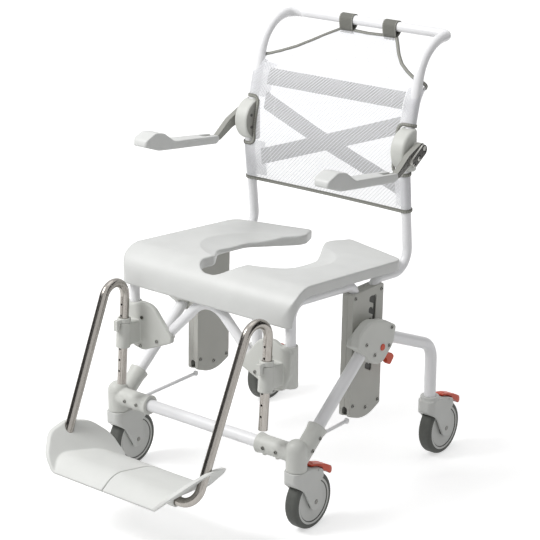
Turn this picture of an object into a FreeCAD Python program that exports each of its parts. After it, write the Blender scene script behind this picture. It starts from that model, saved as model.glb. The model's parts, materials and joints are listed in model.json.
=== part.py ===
import FreeCAD, Part
import math
import os
import re

# Shower commode chair on four braked casters, with a height-adjustable seat unit, fold-up armrests
# and swing-away leg rests. Millimetres. The chair faces -Y, +X is its own left side, the floor is Z = 0.

Vector = FreeCAD.Vector
doc = FreeCAD.newDocument("ShowerCommodeChair")

# Driving dimensions: name, value, meaning.
SIZE_TABLE = [
    ("fit", 0.15, "radial clearance of pieces that stay together"),
    ("run_gap", 0.4, "clearance of pieces that move on each other"),
    # Stance and base frame
    ("stem_out", 36, "caster stems and side tubes outside the seat tubes"),
    ("front_stem_y", -140, "fore and aft place of the front caster stems"),
    ("rear_stem_y", 348, "fore and aft place of the rear caster stems"),
    ("base_tube", 27, "outer diameter of the base tubes"),
    ("base_wall", 2, "wall of the base tubes"),
    ("cross_tube_z", 179, "height of the front cross tube"),
    ("side_foot_z", 159, "height where the rising run of a side tube meets the front stem axis"),
    ("apex_y", 124, "fore and aft place of the side tube's apex"),
    ("apex_z", 370, "height of the side tube's apex"),
    ("rear_corner_z", 275, "height where the falling run meets the rear stem axis"),
    ("apex_bend", 45, "bend radius at the apex"),
    ("rear_bend", 50, "bend radius above the rear caster"),
    # Casters
    ("wheel_dia", 125, "caster wheel diameter"),
    ("wheel_width", 32, "tyre width"),
    ("tyre_depth", 11, "radial depth of the tyre"),
    ("trail", 40, "axle behind the stem"),
    ("axle_dia", 10, "wheel axle"),
    ("fork_top", 143, "height of the fork's top face"),
    ("fork_wall", 5, "cheek of the fork"),
    ("stem_length", 45, "caster stem above the fork"),
    ("collar_rise", 9, "collar of the rear forks round the side tube"),
    ("pedal_width", 26, "width of the brake pedal"),
    # Front corner mouldings
    ("stem_housing", 45, "outer diameter round the front caster stem"),
    ("socket_wall", 6.5, "wall of the tube sockets"),
    ("socket_lip", 2.5, "flare of the socket mouths"),
    ("cross_socket", 98, "length of the socket for the cross tube, from the stem"),
    ("side_socket", 91, "length of the socket for the side tube, from the stem"),
    ("dome_base_z", 189.5, "height where the stem housing turns into its dome"),
    # Height heads, levers and lock pins
    ("head_cover", 17, "outer face of the height head from the side tube's axis"),
    ("head_thick", 21, "depth of the height head's rim"),
    ("pin_dia", 10, "lock pin"),
    ("pin_back", 11, "lock pin behind the side tube's apex"),
    ("pin_drop", 33, "lock pin below the side tube's apex"),
    ("pin_engage", 2.8, "depth of the pin's tip in the side box's wall"),
    ("tip_dia", 8, "tip of the lock pin"),
    ("tip_back", 15, "tip of the lock pin behind its shaft, in the slot's channel"),
    ("lever_thick", 12, "thickness of the release lever"),
    ("lever_hub", 20, "diameter of the release lever's hub"),
    ("lever_length", 62, "lever from its pivot to the middle of its grip"),
    ("hook_pitch", 25, "distance between the height steps"),
    # Swing links
    ("link_dia", 8, "rod of the swing link"),
    ("link_y", -106, "front pivot of the swing link"),
    ("link_z", 169, "height of the swing link"),
    ("link_length", 187, "swing link from pivot to pivot"),
    ("link_eye", 6, "thickness of the swing link's eyes"),
    # Seat frame tubes
    ("seat_span", 434, "distance between the seat tubes, left to right"),
    ("seat_tube", 22, "outer diameter of the seat and back tubes"),
    ("seat_wall", 2, "wall of the seat and back tubes"),
    ("front_leg_y", -115, "fore and aft place of the front legs of the seat frame"),
    ("front_leg_foot", 330, "height where the front legs end"),
    ("rail_drop_y", 104, "place where the seat rail bends down into the side box"),
    ("back_drop_y", 164, "place where the back tube bends down into the side box"),
    ("tube_foot_z", 413, "height where both tubes end in the side box"),
    ("back_y", 300, "place where the back tube turns up"),
    ("waist_y", 277, "foremost place of the back tube"),
    ("waist_z", 712, "height of the waist of the back tube"),
    ("shoulder_y", 343, "place where the back tube turns to the rear"),
    ("bar_y", 443.8, "fore and aft place of the push bar"),
    ("bar_z", 958, "height of the push bar"),
    # Seat plate
    ("seat_overhang", 21, "seat plate outside the seat tubes"),
    ("seat_thick", 24, "thickness of the seat plate"),
    ("seat_rear_z", 499, "height of the seat's top face at its rear corners"),
    ("seat_rear_y", 250, "rear corners of the seat plate"),
    ("seat_slope", 0.0875, "rise of the seat towards the front"),
    ("apron_y", -143, "front face of the apron"),
    ("apron_thick", 14, "thickness of the apron"),
    ("apron_drop", 85.4, "lower edge of the apron below the seat's top plane"),
    # Side boxes
    ("box_thick", 29, "thickness of a side box"),
    ("box_front_y", 72, "front face of the side boxes"),
    ("box_depth", 110, "depth of the side boxes"),
    ("box_top_z", 461, "top of the side boxes"),
    ("box_lean", 8, "how far the top of a side box stands behind its foot"),
    ("box_foot_z", 184, "lower corners of the side boxes"),
    ("box_belly", 11, "how far the lower edge of a side box bulges down"),
    ("box_wall", 3, "wall of the side boxes"),
    # Leg rest brackets and leg rests
    ("bracket_front_y", -134, "front face of the leg rest brackets"),
    ("bracket_thick", 12, "face plate of the leg rest brackets"),
    ("arch_y", -115, "fore and aft place of the arch tube"),
    ("arch_in", 89, "ends of the arch tube inside the seat tubes"),
    ("arch_foot_z", 339, "height of the arch tube's ends"),
    ("arch_bend", 60, "bend radius of the arch tube"),
    ("leg_tube", 20, "outer diameter of the leg rest tubes"),
    ("leg_wall", 2, "wall of the leg rest tubes"),
    ("leg_in", 18, "leg rest tubes inside the seat tubes"),
    ("leg_y", -174, "leg rest tube at the reference height"),
    ("leg_ref_z", 340, "reference height of the leg rest tube"),
    ("leg_foot_z", 234, "lower end of the leg rest tube"),
    ("leg_lean", 0.0875, "lean of the leg rest tube to the rear"),
    ("hook_bend", 36, "bend radius of the leg rest's hook"),
    ("shin_y", -239, "shin run of the leg rest at the shin height"),
    ("shin_z", 440, "shin height"),
    ("shin_lean", 0.468, "lean of the shin run"),
    ("bar_foot_in", 10, "foot of the shin run inside the leg rest tube"),
    ("bar_foot_z", 131.5, "height of the bar under the footplate"),
    ("bar_foot_end", 62, "inner end of the bar under the footplate"),
    ("bar_foot_bend", 40, "bend radius at the foot of the shin run"),
    ("clamp_foot_z", 317, "lower end of the leg rest clamp"),
    ("clamp_top_z", 373, "upper end of the leg rest clamp"),
    ("clamp_wall", 5.5, "wall of the leg rest clamp"),
    ("collar_height", 10, "height of the leg rest collar"),
    ("plate_thick", 8, "thickness of the footplates"),
    ("plate_front_y", -457, "front edge of the footplates"),
    ("plate_rear_y", -270, "rear edge of the footplates"),
    ("plate_crown_z", 157, "top of the footplates' crown"),
    ("plate_front_drop", 18, "fall of the footplates from crown to front edge"),
    ("plate_rear_drop", 39, "fall of the footplates from crown to rear edge"),
    ("plate_in", 41, "outer edge of a footplate's floor inside the leg rest tube"),
    ("plate_gap", 2, "gap between the footplates"),
    ("wing_rise", 41, "wings of the footplates above the crown"),
    # Armrests
    ("arm_out", 30, "middle of the armrest pads outside the seat tubes"),
    ("pad_width", 42, "width of the armrest pads"),
    ("pad_front_y", -60, "nose of the armrest pads"),
    ("pad_rear_y", 190, "rear end of the armrest pads"),
    ("pivot_y", 289, "fore and aft place of the armrest pivots"),
    ("pivot_z", 742, "height of the armrest pivots"),
    ("pivot_dia", 10, "armrest pivot"),
    ("link_thick", 14, "thickness of the armrest links"),
    ("clamp_disc", 96, "height of the armrest clamps"),
    ("clamp_disc_thick", 38, "width of the armrest clamps"),
    ("clamp_disc_z", 733, "middle height of the armrest clamps"),
    # Mesh back
    ("mesh_thick", 2, "thickness of the mesh back"),
    ("mesh_foot_z", 598, "lower edge of the mesh back"),
    ("mesh_shoulder_z", 868, "upper edge of the mesh back at the tubes"),
    ("mesh_neck", 77, "half width of the mesh back's neck at the push bar"),
    ("strap_width", 36, "width of the rear straps"),
    ("loop_x", 60, "top loops from the middle plane"),
    ("loop_width", 40, "width of the top loops"),
    ("screw_dia", 8, "screw heads"),
    ("screw_high", 2, "height of the screw heads"),
]

sheet = doc.addObject("Spreadsheet::Sheet", "Sizes")
for row, (alias, number, meaning) in enumerate(SIZE_TABLE, start=1):
    sheet.set("A%d" % row, meaning)
    sheet.set("B%d" % row, str(number))
    sheet.setAlias("B%d" % row, alias)
doc.recompute()
ALIASES = {alias for alias, number, meaning in SIZE_TABLE}


class SheetValues:
    """The sheet's cells as plain numbers, for sketches and paths."""

    def __getattr__(self, alias):
        return float(sheet.get(alias))


val = SheetValues()
FAR = 1500.0  # length of cuts that have to pass through everything


def bound(text):
    """An expression with each size's name pointing at its cell."""
    return re.sub(r"[a-z_]\w*", lambda m: "Sizes." + m.group(0) if m.group(0) in ALIASES else m.group(0),
                  text)


def bind(obj, **expressions):
    for prop, text in expressions.items():
        obj.setExpression(prop, bound(text))
    return obj


def place(obj, x="0", y="0", z="0"):
    for axis, text in zip("xyz", (x, y, z)):
        obj.setExpression("Placement.Base." + axis, bound(text))
    return obj


# Outlines and paths

def cornered(points, closed):
    """Lines and tangent arcs through corner points, each (u, v) or (u, v, corner radius)."""
    spots = [Vector(p[0], p[1], 0) for p in points]
    radii = [p[2] if len(p) > 2 else 0 for p in points]
    return rounded_run(spots, radii, closed)


def rounded_run(spots, radii, closed=False):
    """Geometry of a run of straight lines whose corners are rounded by tangent arcs."""
    count = len(spots)
    starts, ends, arcs = list(spots), list(spots), [None] * count
    corners = range(count) if closed else range(1, count - 1)
    for i in corners:
        if radii[i] <= 0:
            continue
        back = (spots[i - 1] - spots[i]).normalize()
        ahead = (spots[(i + 1) % count] - spots[i]).normalize()
        half = back.getAngle(ahead) / 2
        reach = radii[i] / math.tan(half)
        starts[i] = spots[i] + back * reach
        ends[i] = spots[i] + ahead * reach
        middle = spots[i] + (back + ahead).normalize() * (radii[i] / math.sin(half) - radii[i])
        arcs[i] = Part.Arc(starts[i], middle, ends[i])
    run = []
    for i in range(count):
        if arcs[i]:
            run.append(arcs[i])
        nxt = (i + 1) % count
        if (closed or i + 1 < count) and (starts[nxt] - ends[i]).Length > 1e-6:
            run.append(Part.LineSegment(ends[i], starts[nxt]))
    return run


def mirrored_outline(half):
    """A closed outline from its +u half, listed from one end of the middle line to the other."""
    return list(half) + [(-p[0],) + tuple(p[1:]) for p in reversed(half)]


def offset_corners(points, distance):
    """Corners of a run moved sideways by a distance, to the left of its direction."""
    lines = []
    for a, b in zip(points, points[1:]):
        along = Vector(b[0] - a[0], b[1] - a[1], 0).normalize()
        shift = Vector(-along.y, along.x, 0) * distance
        lines.append((Vector(a[0], a[1], 0) + shift, along, Vector(b[0], b[1], 0) + shift))
    moved = [(lines[0][0].x, lines[0][0].y)]
    for (p, u, _), (q, w, _), corner in zip(lines, lines[1:], points[1:]):
        turn = u.x * w.y - u.y * w.x
        step = ((q.x - p.x) * w.y - (q.y - p.y) * w.x) / turn
        radius = corner[2] - math.copysign(distance, turn * distance)
        moved.append((p.x + u.x * step, p.y + u.y * step, radius))
    moved.append((lines[-1][2].x, lines[-1][2].y))
    return moved


# Bodies, sketches and features

def new_body(label):
    body = doc.addObject("PartDesign::Body", label)
    body.Label = label
    return body


def sketch_on(body, role, geometry, offset="0"):
    """A sketch on one of the body's own planes, moved along the plane's normal."""
    plane = next(f for f in body.Origin.OriginFeatures if f.Role == role)
    sketch = body.newObject("Sketcher::SketchObject", body.Label + "_sketch")
    sketch.AttachmentSupport = [(plane, "")]
    sketch.MapMode = "FlatFace"
    sketch.setExpression("AttachmentOffset.Base.z", bound(offset))
    sketch.addGeometry(geometry)
    return sketch


def outline(points):
    return cornered(points, closed=True)


def circle(u, v, radius):
    return [Part.Circle(Vector(u, v, 0), Vector(0, 0, 1), radius)]


def feature(body, kind, sketch, length):
    """A pad or pocket, half to each side of its sketch; the length is an expression."""
    made = body.newObject("PartDesign::" + kind, body.Label + "_" + kind.lower())
    made.Profile = sketch
    made.SideType = "Symmetric"
    bind(made, Length=length)
    return made


def pad(body, role, geometry, length, offset="0"):
    return feature(body, "Pad", sketch_on(body, role, geometry, offset), length)


def pocket(body, role, geometry, length, offset="0"):
    return feature(body, "Pocket", sketch_on(body, role, geometry, offset), length)


def trim(body, role, geometry):
    """Cuts away all that lies outside a closed outline, seen square to a plane."""
    frame = outline([(-FAR, -FAR), (FAR, -FAR), (FAR, FAR), (-FAR, FAR)])
    return pocket(body, role, frame + geometry, str(2 * FAR))


def spun(label, geometry):
    """A body turned about its own X axis from a profile of (along the axle, radius)."""
    body = new_body(label)
    turned = body.newObject("PartDesign::Revolution", label + "_turned")
    turned.Profile = sketch_on(body, "XY_Plane", geometry)
    turned.ReferenceAxis = (turned.Profile[0], ["H_Axis"])
    turned.Angle = 360
    return body


def primitive(kind, label, at, direction=None, **sizes):
    """A Part primitive with its sizes and place bound to the sheet; its axis may point anywhere."""
    made = doc.addObject("Part::" + kind, label)
    if direction:
        turn = FreeCAD.Rotation(Vector(0, 0, 1), Vector(*direction))
        made.Placement = FreeCAD.Placement(Vector(0, 0, 0), turn)
    bind(made, **sizes)
    return place(made, *at)


def texts(point):
    """A point's coordinates as expressions."""
    return ["%f" % c for c in point]


screws = {"base": [], "seat": []}


def screw(group, at, direction, depth=9.0):
    """A pan-head screw on a face of the left side; gives back the tool that drills its hole."""
    seat = Vector(*at) + Vector(*direction) * 0.05
    tip = seat - Vector(*direction) * depth
    head = primitive("Cylinder", "screw_head", texts(seat), direction, Radius="screw_dia / 2",
                     Height="screw_high")
    shank = primitive("Cylinder", "screw_shank", texts(tip), direction, Radius="screw_dia / 4",
                      Height="%f + screw_high / 2" % depth)
    socket_depth = val.screw_high * 0.6
    key = primitive("Prism", "screw_socket",
                    texts(seat + Vector(*direction) * (val.screw_high - socket_depth)), direction,
                    Circumradius="screw_dia * 0.3", Height="screw_high")
    screws[group].append(cut("screw", fuse("screw_solid", [head, shank]), [key]))
    return primitive("Cylinder", "screw_hole", texts(tip - Vector(*direction) * 0.5), direction,
                     Radius="screw_dia / 4 + fit", Height="%f" % (depth + 2))


def fuse(label, pieces):
    made = doc.addObject("Part::MultiFuse", label)
    made.Shapes = pieces
    made.Refine = True
    return made


def cut(label, base, tools):
    made = doc.addObject("Part::Cut", label)
    made.Base = base
    made.Tool = tools[0] if len(tools) == 1 else fuse(label + "_tools", tools)
    made.Refine = True
    return made


def softened(label, base, radius, wanted):
    """Rounds the sharp edges that wanted(middle, low, high) picks; low and high: z of its faces' normals."""
    doc.recompute()
    numbers = []
    for number, edge in enumerate(base.Shape.Edges, 1):
        faces = base.Shape.ancestorsOfType(edge, Part.Face)
        if len(faces) != 2:
            continue
        middle = edge.valueAt((edge.FirstParameter + edge.LastParameter) / 2)
        normals = [face.normalAt(*face.Surface.parameter(middle)) for face in faces]
        rises = sorted(normal.z for normal in normals)
        if normals[0].getAngle(normals[1]) > math.radians(50) and wanted(middle, *rises):
            numbers.append(number)
    made = doc.addObject("Part::Fillet", label)
    made.Base = base
    made.Edges = [(number, radius, radius) for number in numbers]
    return made


def common(label, first, second):
    made = doc.addObject("Part::MultiCommon", label)
    made.Shapes = [first, second]
    made.Refine = True
    return made


def mirrored(label, source):
    """The same piece for the other side of the chair."""
    made = doc.addObject("Part::Mirroring", label)
    made.Source = source
    made.Normal = Vector(1, 0, 0)
    return made


def tube_path(label, corners, radii):
    path = doc.addObject("Part::Feature", label + "_path")
    run = rounded_run([Vector(*c) for c in corners], [0] + list(radii) + [0])
    path.Shape = Part.Wire([piece.toShape() for piece in run])
    return path


def rod_along(label, path, radius):
    """A round bar along a path; the radius is an expression."""
    first = path.Shape.Edges[0]
    start = first.valueAt(first.FirstParameter)
    ring = doc.addObject("Part::Circle", label + "_ring")
    bind(ring, Radius=radius)
    turn = FreeCAD.Rotation(Vector(0, 0, 1), first.tangentAt(first.FirstParameter))
    ring.Placement = FreeCAD.Placement(start, turn)
    bar = doc.addObject("Part::Sweep", label)
    bar.Sections = [ring]
    bar.Spine = (path, ["Edge%d" % (i + 1) for i in range(len(path.Shape.Edges))])
    bar.Solid = True
    bar.Transition = "Transformed"
    return bar


def tube_along(label, path, outer, wall):
    solid = rod_along(label + "_skin", path, outer + " / 2")
    bore = rod_along(label + "_bore", path, outer + " / 2 - " + wall)
    return cut(label, solid, [bore])


nodes = []


def node(obj, label=None):
    """Marks a piece for export; its label is its file's name."""
    obj.Label = label or obj.Label
    nodes.append(obj)
    return obj


def both_sides(stem, left):
    node(left, stem + "_left")
    node(mirrored(stem + "_right", left), stem + "_right")


# Places that several pieces share

tube_x = val.seat_span / 2
half_track = tube_x + val.stem_out
head_out = half_track + val.head_cover
arm_x = tube_x + val.arm_out
leg_x = tube_x - val.leg_in
arch_reach = tube_x - val.arch_in
plate_half = leg_x - val.plate_in
pin_y = val.apex_y + val.pin_back
pin_z = val.apex_z - val.pin_drop
STEM_X = "seat_span / 2 + stem_out"
HEAD_FACE = STEM_X + " + head_cover"
ARM_X = "seat_span / 2 + arm_out"
LEG_X = "seat_span / 2 - leg_in"
PIN_Y = "apex_y + pin_back"
PIN_Z = "apex_z - pin_drop"
wheel_r = val.wheel_dia / 2
box_out = tube_x + val.box_thick / 2
head_in = box_out + val.screw_high + 2 * val.run_gap
seat_slope = val.seat_slope


def moved(points, across, up):
    """Outline points counted from a shared place, moved to it."""
    return [(a + across, b + up) + tuple(rest) for a, b, *rest in points]


def seat_top(y):
    """Height of the seat's top plane."""
    return val.seat_rear_z + seat_slope * (val.seat_rear_y - y)


def rail_z(y):
    """Height of the tubes' axis below the seat plate."""
    return seat_top(y) - val.seat_thick - val.seat_tube / 2 - val.run_gap


def leg_axis(z):
    """Point on the axis of the left leg rest tube."""
    return (leg_x, val.leg_y + val.leg_lean * (z - val.leg_ref_z), z)


def shin_y(z):
    return val.shin_y + val.shin_lean * (z - val.shin_z)


LEAN = Vector(0, val.leg_lean, 1).normalize()

# Paths of the tubes, left side where there are two

side_rise = Vector(0, val.apex_y - val.front_stem_y, val.apex_z - val.side_foot_z).normalize()
side_foot = Vector(half_track, val.front_stem_y, val.side_foot_z)
side_start = side_foot + side_rise * (val.stem_housing * 0.75)
side_path = tube_path("side_tube", [
    tuple(side_start),
    (half_track, val.apex_y, val.apex_z),
    (half_track, val.rear_stem_y, val.rear_corner_z),
    (half_track, val.rear_stem_y, val.fork_top + val.run_gap),
], [val.apex_bend, val.rear_bend])

cross_end = half_track - val.stem_housing * 0.4
cross_path = tube_path("front_cross_tube", [
    (-cross_end, val.front_stem_y, val.cross_tube_z),
    (cross_end, val.front_stem_y, val.cross_tube_z),
], [])

RAIL_BEND = 33
BACK_BENDS = [30, 45, 200, 95, 30]
rail_path = tube_path("seat_rail", [
    (tube_x, val.front_leg_y, val.front_leg_foot),
    (tube_x, val.front_leg_y, rail_z(val.front_leg_y)),
    (tube_x, val.rail_drop_y, rail_z(val.rail_drop_y)),
    (tube_x, val.rail_drop_y, val.tube_foot_z),
], [RAIL_BEND, RAIL_BEND])

back_half = [
    (tube_x, val.back_drop_y, val.tube_foot_z),
    (tube_x, val.back_drop_y, rail_z(val.back_drop_y)),
    (tube_x, val.back_y, rail_z(val.back_y)),
    (tube_x, val.waist_y, val.waist_z),
    (tube_x, val.shoulder_y, val.bar_z),
    (tube_x, val.bar_y, val.bar_z),
]
back_path = tube_path("back_tube", back_half + [(-x, y, z) for x, y, z in reversed(back_half)],
                      BACK_BENDS + BACK_BENDS[::-1])

arch_rise = arch_reach
arch_path = tube_path("arch_tube", [
    (arch_reach, val.arch_y, val.arch_foot_z),
    (0, val.arch_y, val.arch_foot_z + arch_rise),
    (-arch_reach, val.arch_y, val.arch_foot_z),
], [val.arch_bend])

# The hook's corner is where the upright run and the shin run would meet.
hook_z = ((val.shin_y - val.shin_lean * val.shin_z) - (val.leg_y - val.leg_lean * val.leg_ref_z)) \
    / (val.leg_lean - val.shin_lean)
bar_foot_y = shin_y(val.bar_foot_z)
leg_path = tube_path("legrest_tube", [
    leg_axis(val.leg_foot_z),
    leg_axis(hook_z),
    ((leg_x - val.bar_foot_in), bar_foot_y, val.bar_foot_z),
    (val.bar_foot_end, bar_foot_y, val.bar_foot_z),
], [val.hook_bend, val.bar_foot_bend])


# Base frame

def base_tubes():
    both_sides("side_tube", tube_along("side_tube_left", side_path, "base_tube", "base_wall"))
    node(tube_along("front_cross_tube", cross_path, "base_tube", "base_wall"))


def socket(label, start, direction, length):
    """A tube socket with a flared mouth."""
    mouth = 14
    barrel = primitive("Cylinder", label + "_barrel", texts(start), direction,
                       Radius="base_tube / 2 + fit + socket_wall", Height=length)
    tip = Vector(*start) + Vector(*direction).normalize() * (getattr(val, length) - mouth)
    flare = primitive("Cone", label + "_flare", texts(tip), direction,
                      Radius1="base_tube / 2 + fit + socket_wall",
                      Radius2="base_tube / 2 + fit + socket_wall + socket_lip", Height=str(mouth))
    return [barrel, flare]


def front_corner():
    stem_at = (STEM_X, "front_stem_y", "fork_top + run_gap")
    pieces = [
        primitive("Cylinder", "corner_stem", stem_at, Radius="stem_housing / 2",
                  Height="dome_base_z - fork_top - run_gap"),
        primitive("Sphere", "corner_dome", (STEM_X, "front_stem_y", "dome_base_z"),
                  Radius="stem_housing / 2"),
    ]
    inward = (-1, 0, 0)
    rise = tuple(side_rise)
    pieces += socket("corner_cross", (half_track, val.front_stem_y, val.cross_tube_z), inward,
                     "cross_socket")
    pieces += socket("corner_side", tuple(side_foot), rise, "side_socket")
    socket_r = val.base_tube / 2 + val.fit + val.socket_wall
    boss_r, boss_high = 5.5, 4.0
    for share in (0.5, 0.85):
        at = (half_track - val.cross_socket * share, val.front_stem_y,
              val.cross_tube_z - socket_r - boss_high)
        pieces.append(primitive("Cylinder", "corner_boss", texts(at), Radius=str(boss_r),
                                Height=str(boss_high + val.socket_wall / 2)))
    # Clevis of the swing link, behind the cross socket
    clevis_wide, clevis_high = 20.0, 17.0
    clevis_from = val.front_stem_y + socket_r - 3
    pieces.append(primitive("Box", "corner_clevis",
                            ["%f" % (tube_x - clevis_wide / 2), "%f" % clevis_from,
                             "link_z - %f" % (clevis_high / 2)],
                            Length=str(clevis_wide), Width="%f" % (val.link_y + 7 - clevis_from),
                            Height=str(clevis_high)))
    slot_wide = val.link_eye + 2 * val.run_gap
    cuts = [
        primitive("Cylinder", "corner_stem_bore", stem_at, Radius="base_tube / 2 - base_wall",
                  Height="stem_length + 2"),
        rod_along("corner_cross_bore", cross_path, "base_tube / 2 + fit"),
        rod_along("corner_side_bore", side_path, "base_tube / 2 + fit"),
        primitive("Box", "corner_clevis_slot",
                  ["%f" % (tube_x - slot_wide / 2), "%f" % (val.link_y - 10), "link_z - 20"],
                  Length=str(slot_wide), Width="30", Height="40"),
        primitive("Cylinder", "corner_clevis_bore", ["%f" % (tube_x - 20), "link_y", "link_z"], (1, 0, 0),
                  Radius="link_dia / 3 + run_gap / 2", Height="40"),
    ]
    for share in (0.4, 0.75):
        at = (half_track - val.cross_socket * share, val.front_stem_y - socket_r, val.cross_tube_z)
        cuts.append(screw("base", at, (0, -1, 0), val.socket_wall - 1))
        at = side_foot + side_rise * (val.side_socket * share) + Vector(socket_r, 0, 0)
        cuts.append(screw("base", tuple(at), (1, 0, 0), val.socket_wall - 1))
    both_sides("front_corner", cut("front_corner_left", fuse("corner_solid", pieces), cuts))


def swing_link():
    """Rod with an eye at each end; the front eye turns on its pin in the corner's clevis."""
    eye_r = 7.0
    front, rear = ("%f" % (tube_x - val.link_eye / 2), "link_y", "link_z"), "link_y + link_length"
    pieces = [
        primitive("Cylinder", "link_front_eye", front, (1, 0, 0), Radius=str(eye_r), Height="link_eye"),
        primitive("Cylinder", "link_rear_eye", (front[0], rear, "link_z"), (1, 0, 0), Radius=str(eye_r - 1),
                  Height="link_eye"),
        primitive("Cylinder", "link_rod", ("%f" % tube_x, "link_y + 10", "link_z"), (0, 1, 0),
                  Radius="link_dia / 2", Height="link_length - 13"),
        primitive("Cylinder", "link_neck", ("%f" % tube_x, "link_y", "link_z"), (0, 1, 0),
                  Radius="link_eye * 0.4", Height="12"),
        primitive("Cylinder", "link_pin", ("%f" % (tube_x - 10), "link_y", "link_z"), (1, 0, 0),
                  Radius="link_dia / 3", Height="20"),
    ]
    both_sides("swing_link", fuse("swing_link_left", pieces))


HEAD_OUTLINE = [(-77, -12, 8), (-70, 19, 22), (-32, 38, 40), (26, 24, 40), (63, 3, 9), (53, -38, 40),
                (9, -74, 30), (-28, -59, 20), (-58, -29, 9)]
HEAD_CORE = [(-73, -15, 5), (-64, 2, 10), (-30, 18, 30), (18, 9, 30), (48, -8, 9), (44, -36, 30),
             (9, -64, 20), (-25, -52, 12), (-53, -27, 6)]
LEVER_ANGLE = -43.0
LEVER_TURN = 18.0
LEVER_NECK = 6.0
HEAD_SCREWS = [(-47, -11), (-17, -43), (35, -36), (44, 3)]


def height_head():
    """Fan-shaped housing over the side tube's apex; behind its rim a smaller core reaches the side box."""
    thick = val.head_thick
    body = new_body("head_housing")
    pad(body, "YZ_Plane", outline(moved(HEAD_OUTLINE, val.apex_y, val.apex_z)), "head_thick",
        HEAD_FACE + " - head_thick / 2")
    core = new_body("head_core")
    core_thick = head_out - thick / 2 - head_in
    pad(core, "YZ_Plane", outline(moved(HEAD_CORE, val.apex_y, val.apex_z)), "%f" % core_thick,
        "%f" % (head_in + core_thick / 2))
    doc.recompute()
    outer = [e for e in body.Shape.Edges
             if abs(e.BoundBox.XMin - head_out) < 1e-3 and abs(e.BoundBox.XMax - head_out) < 1e-3]
    soft = doc.addObject("Part::Fillet", "head_soft")
    soft.Base = body
    numbers = [i + 1 for i, e in enumerate(body.Shape.Edges) if any(e.isSame(o) for o in outer)]
    soft.Edges = [(n, 4.0, 4.0) for n in numbers]
    lever_wide = val.lever_thick + 2 * val.run_gap
    lever_x = half_track - lever_wide / 2
    cuts = [
        rod_along("head_tube_bore", side_path, "base_tube / 2 + fit"),
        primitive("Cylinder", "head_pin_bore", ("%f" % (head_in - 5), PIN_Y, PIN_Z), (1, 0, 0),
                  Radius="pin_dia / 2 + run_gap", Height="%f" % (head_out - head_in + 10)),
        primitive("Cylinder", "head_hub_space", ("%f" % lever_x, PIN_Y, PIN_Z), (1, 0, 0),
                  Radius="lever_hub / 2 + run_gap", Height="%f" % lever_wide),
    ]
    foot_space = new_body("head_foot_space")
    foot_deep = lever_x + 1 - head_in
    pad(foot_space, "YZ_Plane", pin_foot(val.run_gap), "%f" % (foot_deep + 2),
        "%f" % (head_in + foot_deep / 2))
    cuts.append(foot_space)
    wedge = new_body("head_lever_space")
    side = LEVER_NECK + 2 * val.run_gap
    sweep = []
    for degrees, across, far in ((-2, -side, 0), (-2, -side, 90), (LEVER_TURN + 2, side, 90),
                                 (LEVER_TURN + 2, side, 0)):
        turn = math.radians(LEVER_ANGLE + degrees)
        sweep.append((pin_y + far * math.cos(turn) - across * math.sin(turn),
                      pin_z + far * math.sin(turn) + across * math.cos(turn)))
    pad(wedge, "YZ_Plane", outline(sweep), "%f" % lever_wide, "%f" % half_track)
    cuts.append(wedge)
    for y, z in moved(HEAD_SCREWS, val.apex_y, val.apex_z):
        cuts.append(screw("base", (head_out, y, z), (1, 0, 0)))
    both_sides("height_head", cut("height_head_left", fuse("head_solid", [soft, core]), cuts))


def release_lever():
    """Lever that turns about the lock pin's axis; its grip shows below the head."""
    turn = math.radians(LEVER_ANGLE)
    along = (math.cos(turn), math.sin(turn))
    across = (-along[1], along[0])
    hub_r, neck, grip, tip = val.lever_hub / 2, LEVER_NECK, 12.0, 11.0

    def spot(far, side, radius=0.0):
        return (pin_y + along[0] * far + across[0] * side, pin_z + along[1] * far + across[1] * side,
                radius)

    reach = val.lever_length
    arm = [spot(0, -neck), spot(reach - 12, -neck, 6), spot(reach - 4, -grip, 6),
           spot(reach + tip, -grip, 6),
           spot(reach + tip, grip, 6), spot(reach - 4, grip, 6), spot(reach - 12, neck, 6), spot(0, neck)]
    body = new_body("lever_arm")
    pad(body, "YZ_Plane", outline(arm), "lever_thick", STEM_X)
    hub = primitive("Cylinder", "lever_hub", (STEM_X + " - lever_thick / 2", PIN_Y, PIN_Z), (1, 0, 0),
                    Radius="%f" % hub_r, Height="lever_thick")
    bore = primitive("Cylinder", "lever_bore", (STEM_X + " - lever_thick", PIN_Y, PIN_Z), (1, 0, 0),
                     Radius="pin_dia / 2 + run_gap", Height="2 * lever_thick")
    both_sides("height_lever", cut("height_lever_left", fuse("lever_solid", [body, hub]), [bore]))


def pin_foot(clear):
    """Side view of the foot between the lock pin's shaft and its tip, or of the space round it."""
    r = val.pin_dia / 2 + clear
    front, rear = pin_y - r, pin_y + val.tip_back + r
    return outline([(front, pin_z - r, r * 0.98), (rear, pin_z - r, r * 0.98), (rear, pin_z + r, r * 0.98),
                    (front, pin_z + r, r * 0.98)])


def lock_pin():
    """Sliding pin: its cap is the red dot on the head, and a foot carries the tip into the slot's channel."""
    inner = head_in + val.run_gap
    face = head_out - inner + val.run_gap / 2
    cap = val.pin_dia * 0.75
    shaft = spun("pin_shaft", outline([
        (0, 0), (face + 1.8, 0), (face + 1.8, cap, 0.8), (face, cap), (face, val.pin_dia / 2),
        (0, val.pin_dia / 2)]))
    place(shaft, "%f" % inner, PIN_Y, PIN_Z)
    foot = new_body("pin_foot")
    thick = 4.0
    pad(foot, "YZ_Plane", pin_foot(0), str(thick), "%f" % (inner + thick / 2))
    tip = primitive("Cylinder", "pin_tip",
                    ("%f" % (box_out - val.pin_engage), PIN_Y + " + tip_back", PIN_Z), (1, 0, 0),
                    Radius="tip_dia / 2", Height="%f" % (inner + thick / 2 - box_out + val.pin_engage))
    both_sides("lock_pin", fuse("lock_pin_left", [shaft, foot, tip]))


# Casters

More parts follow.
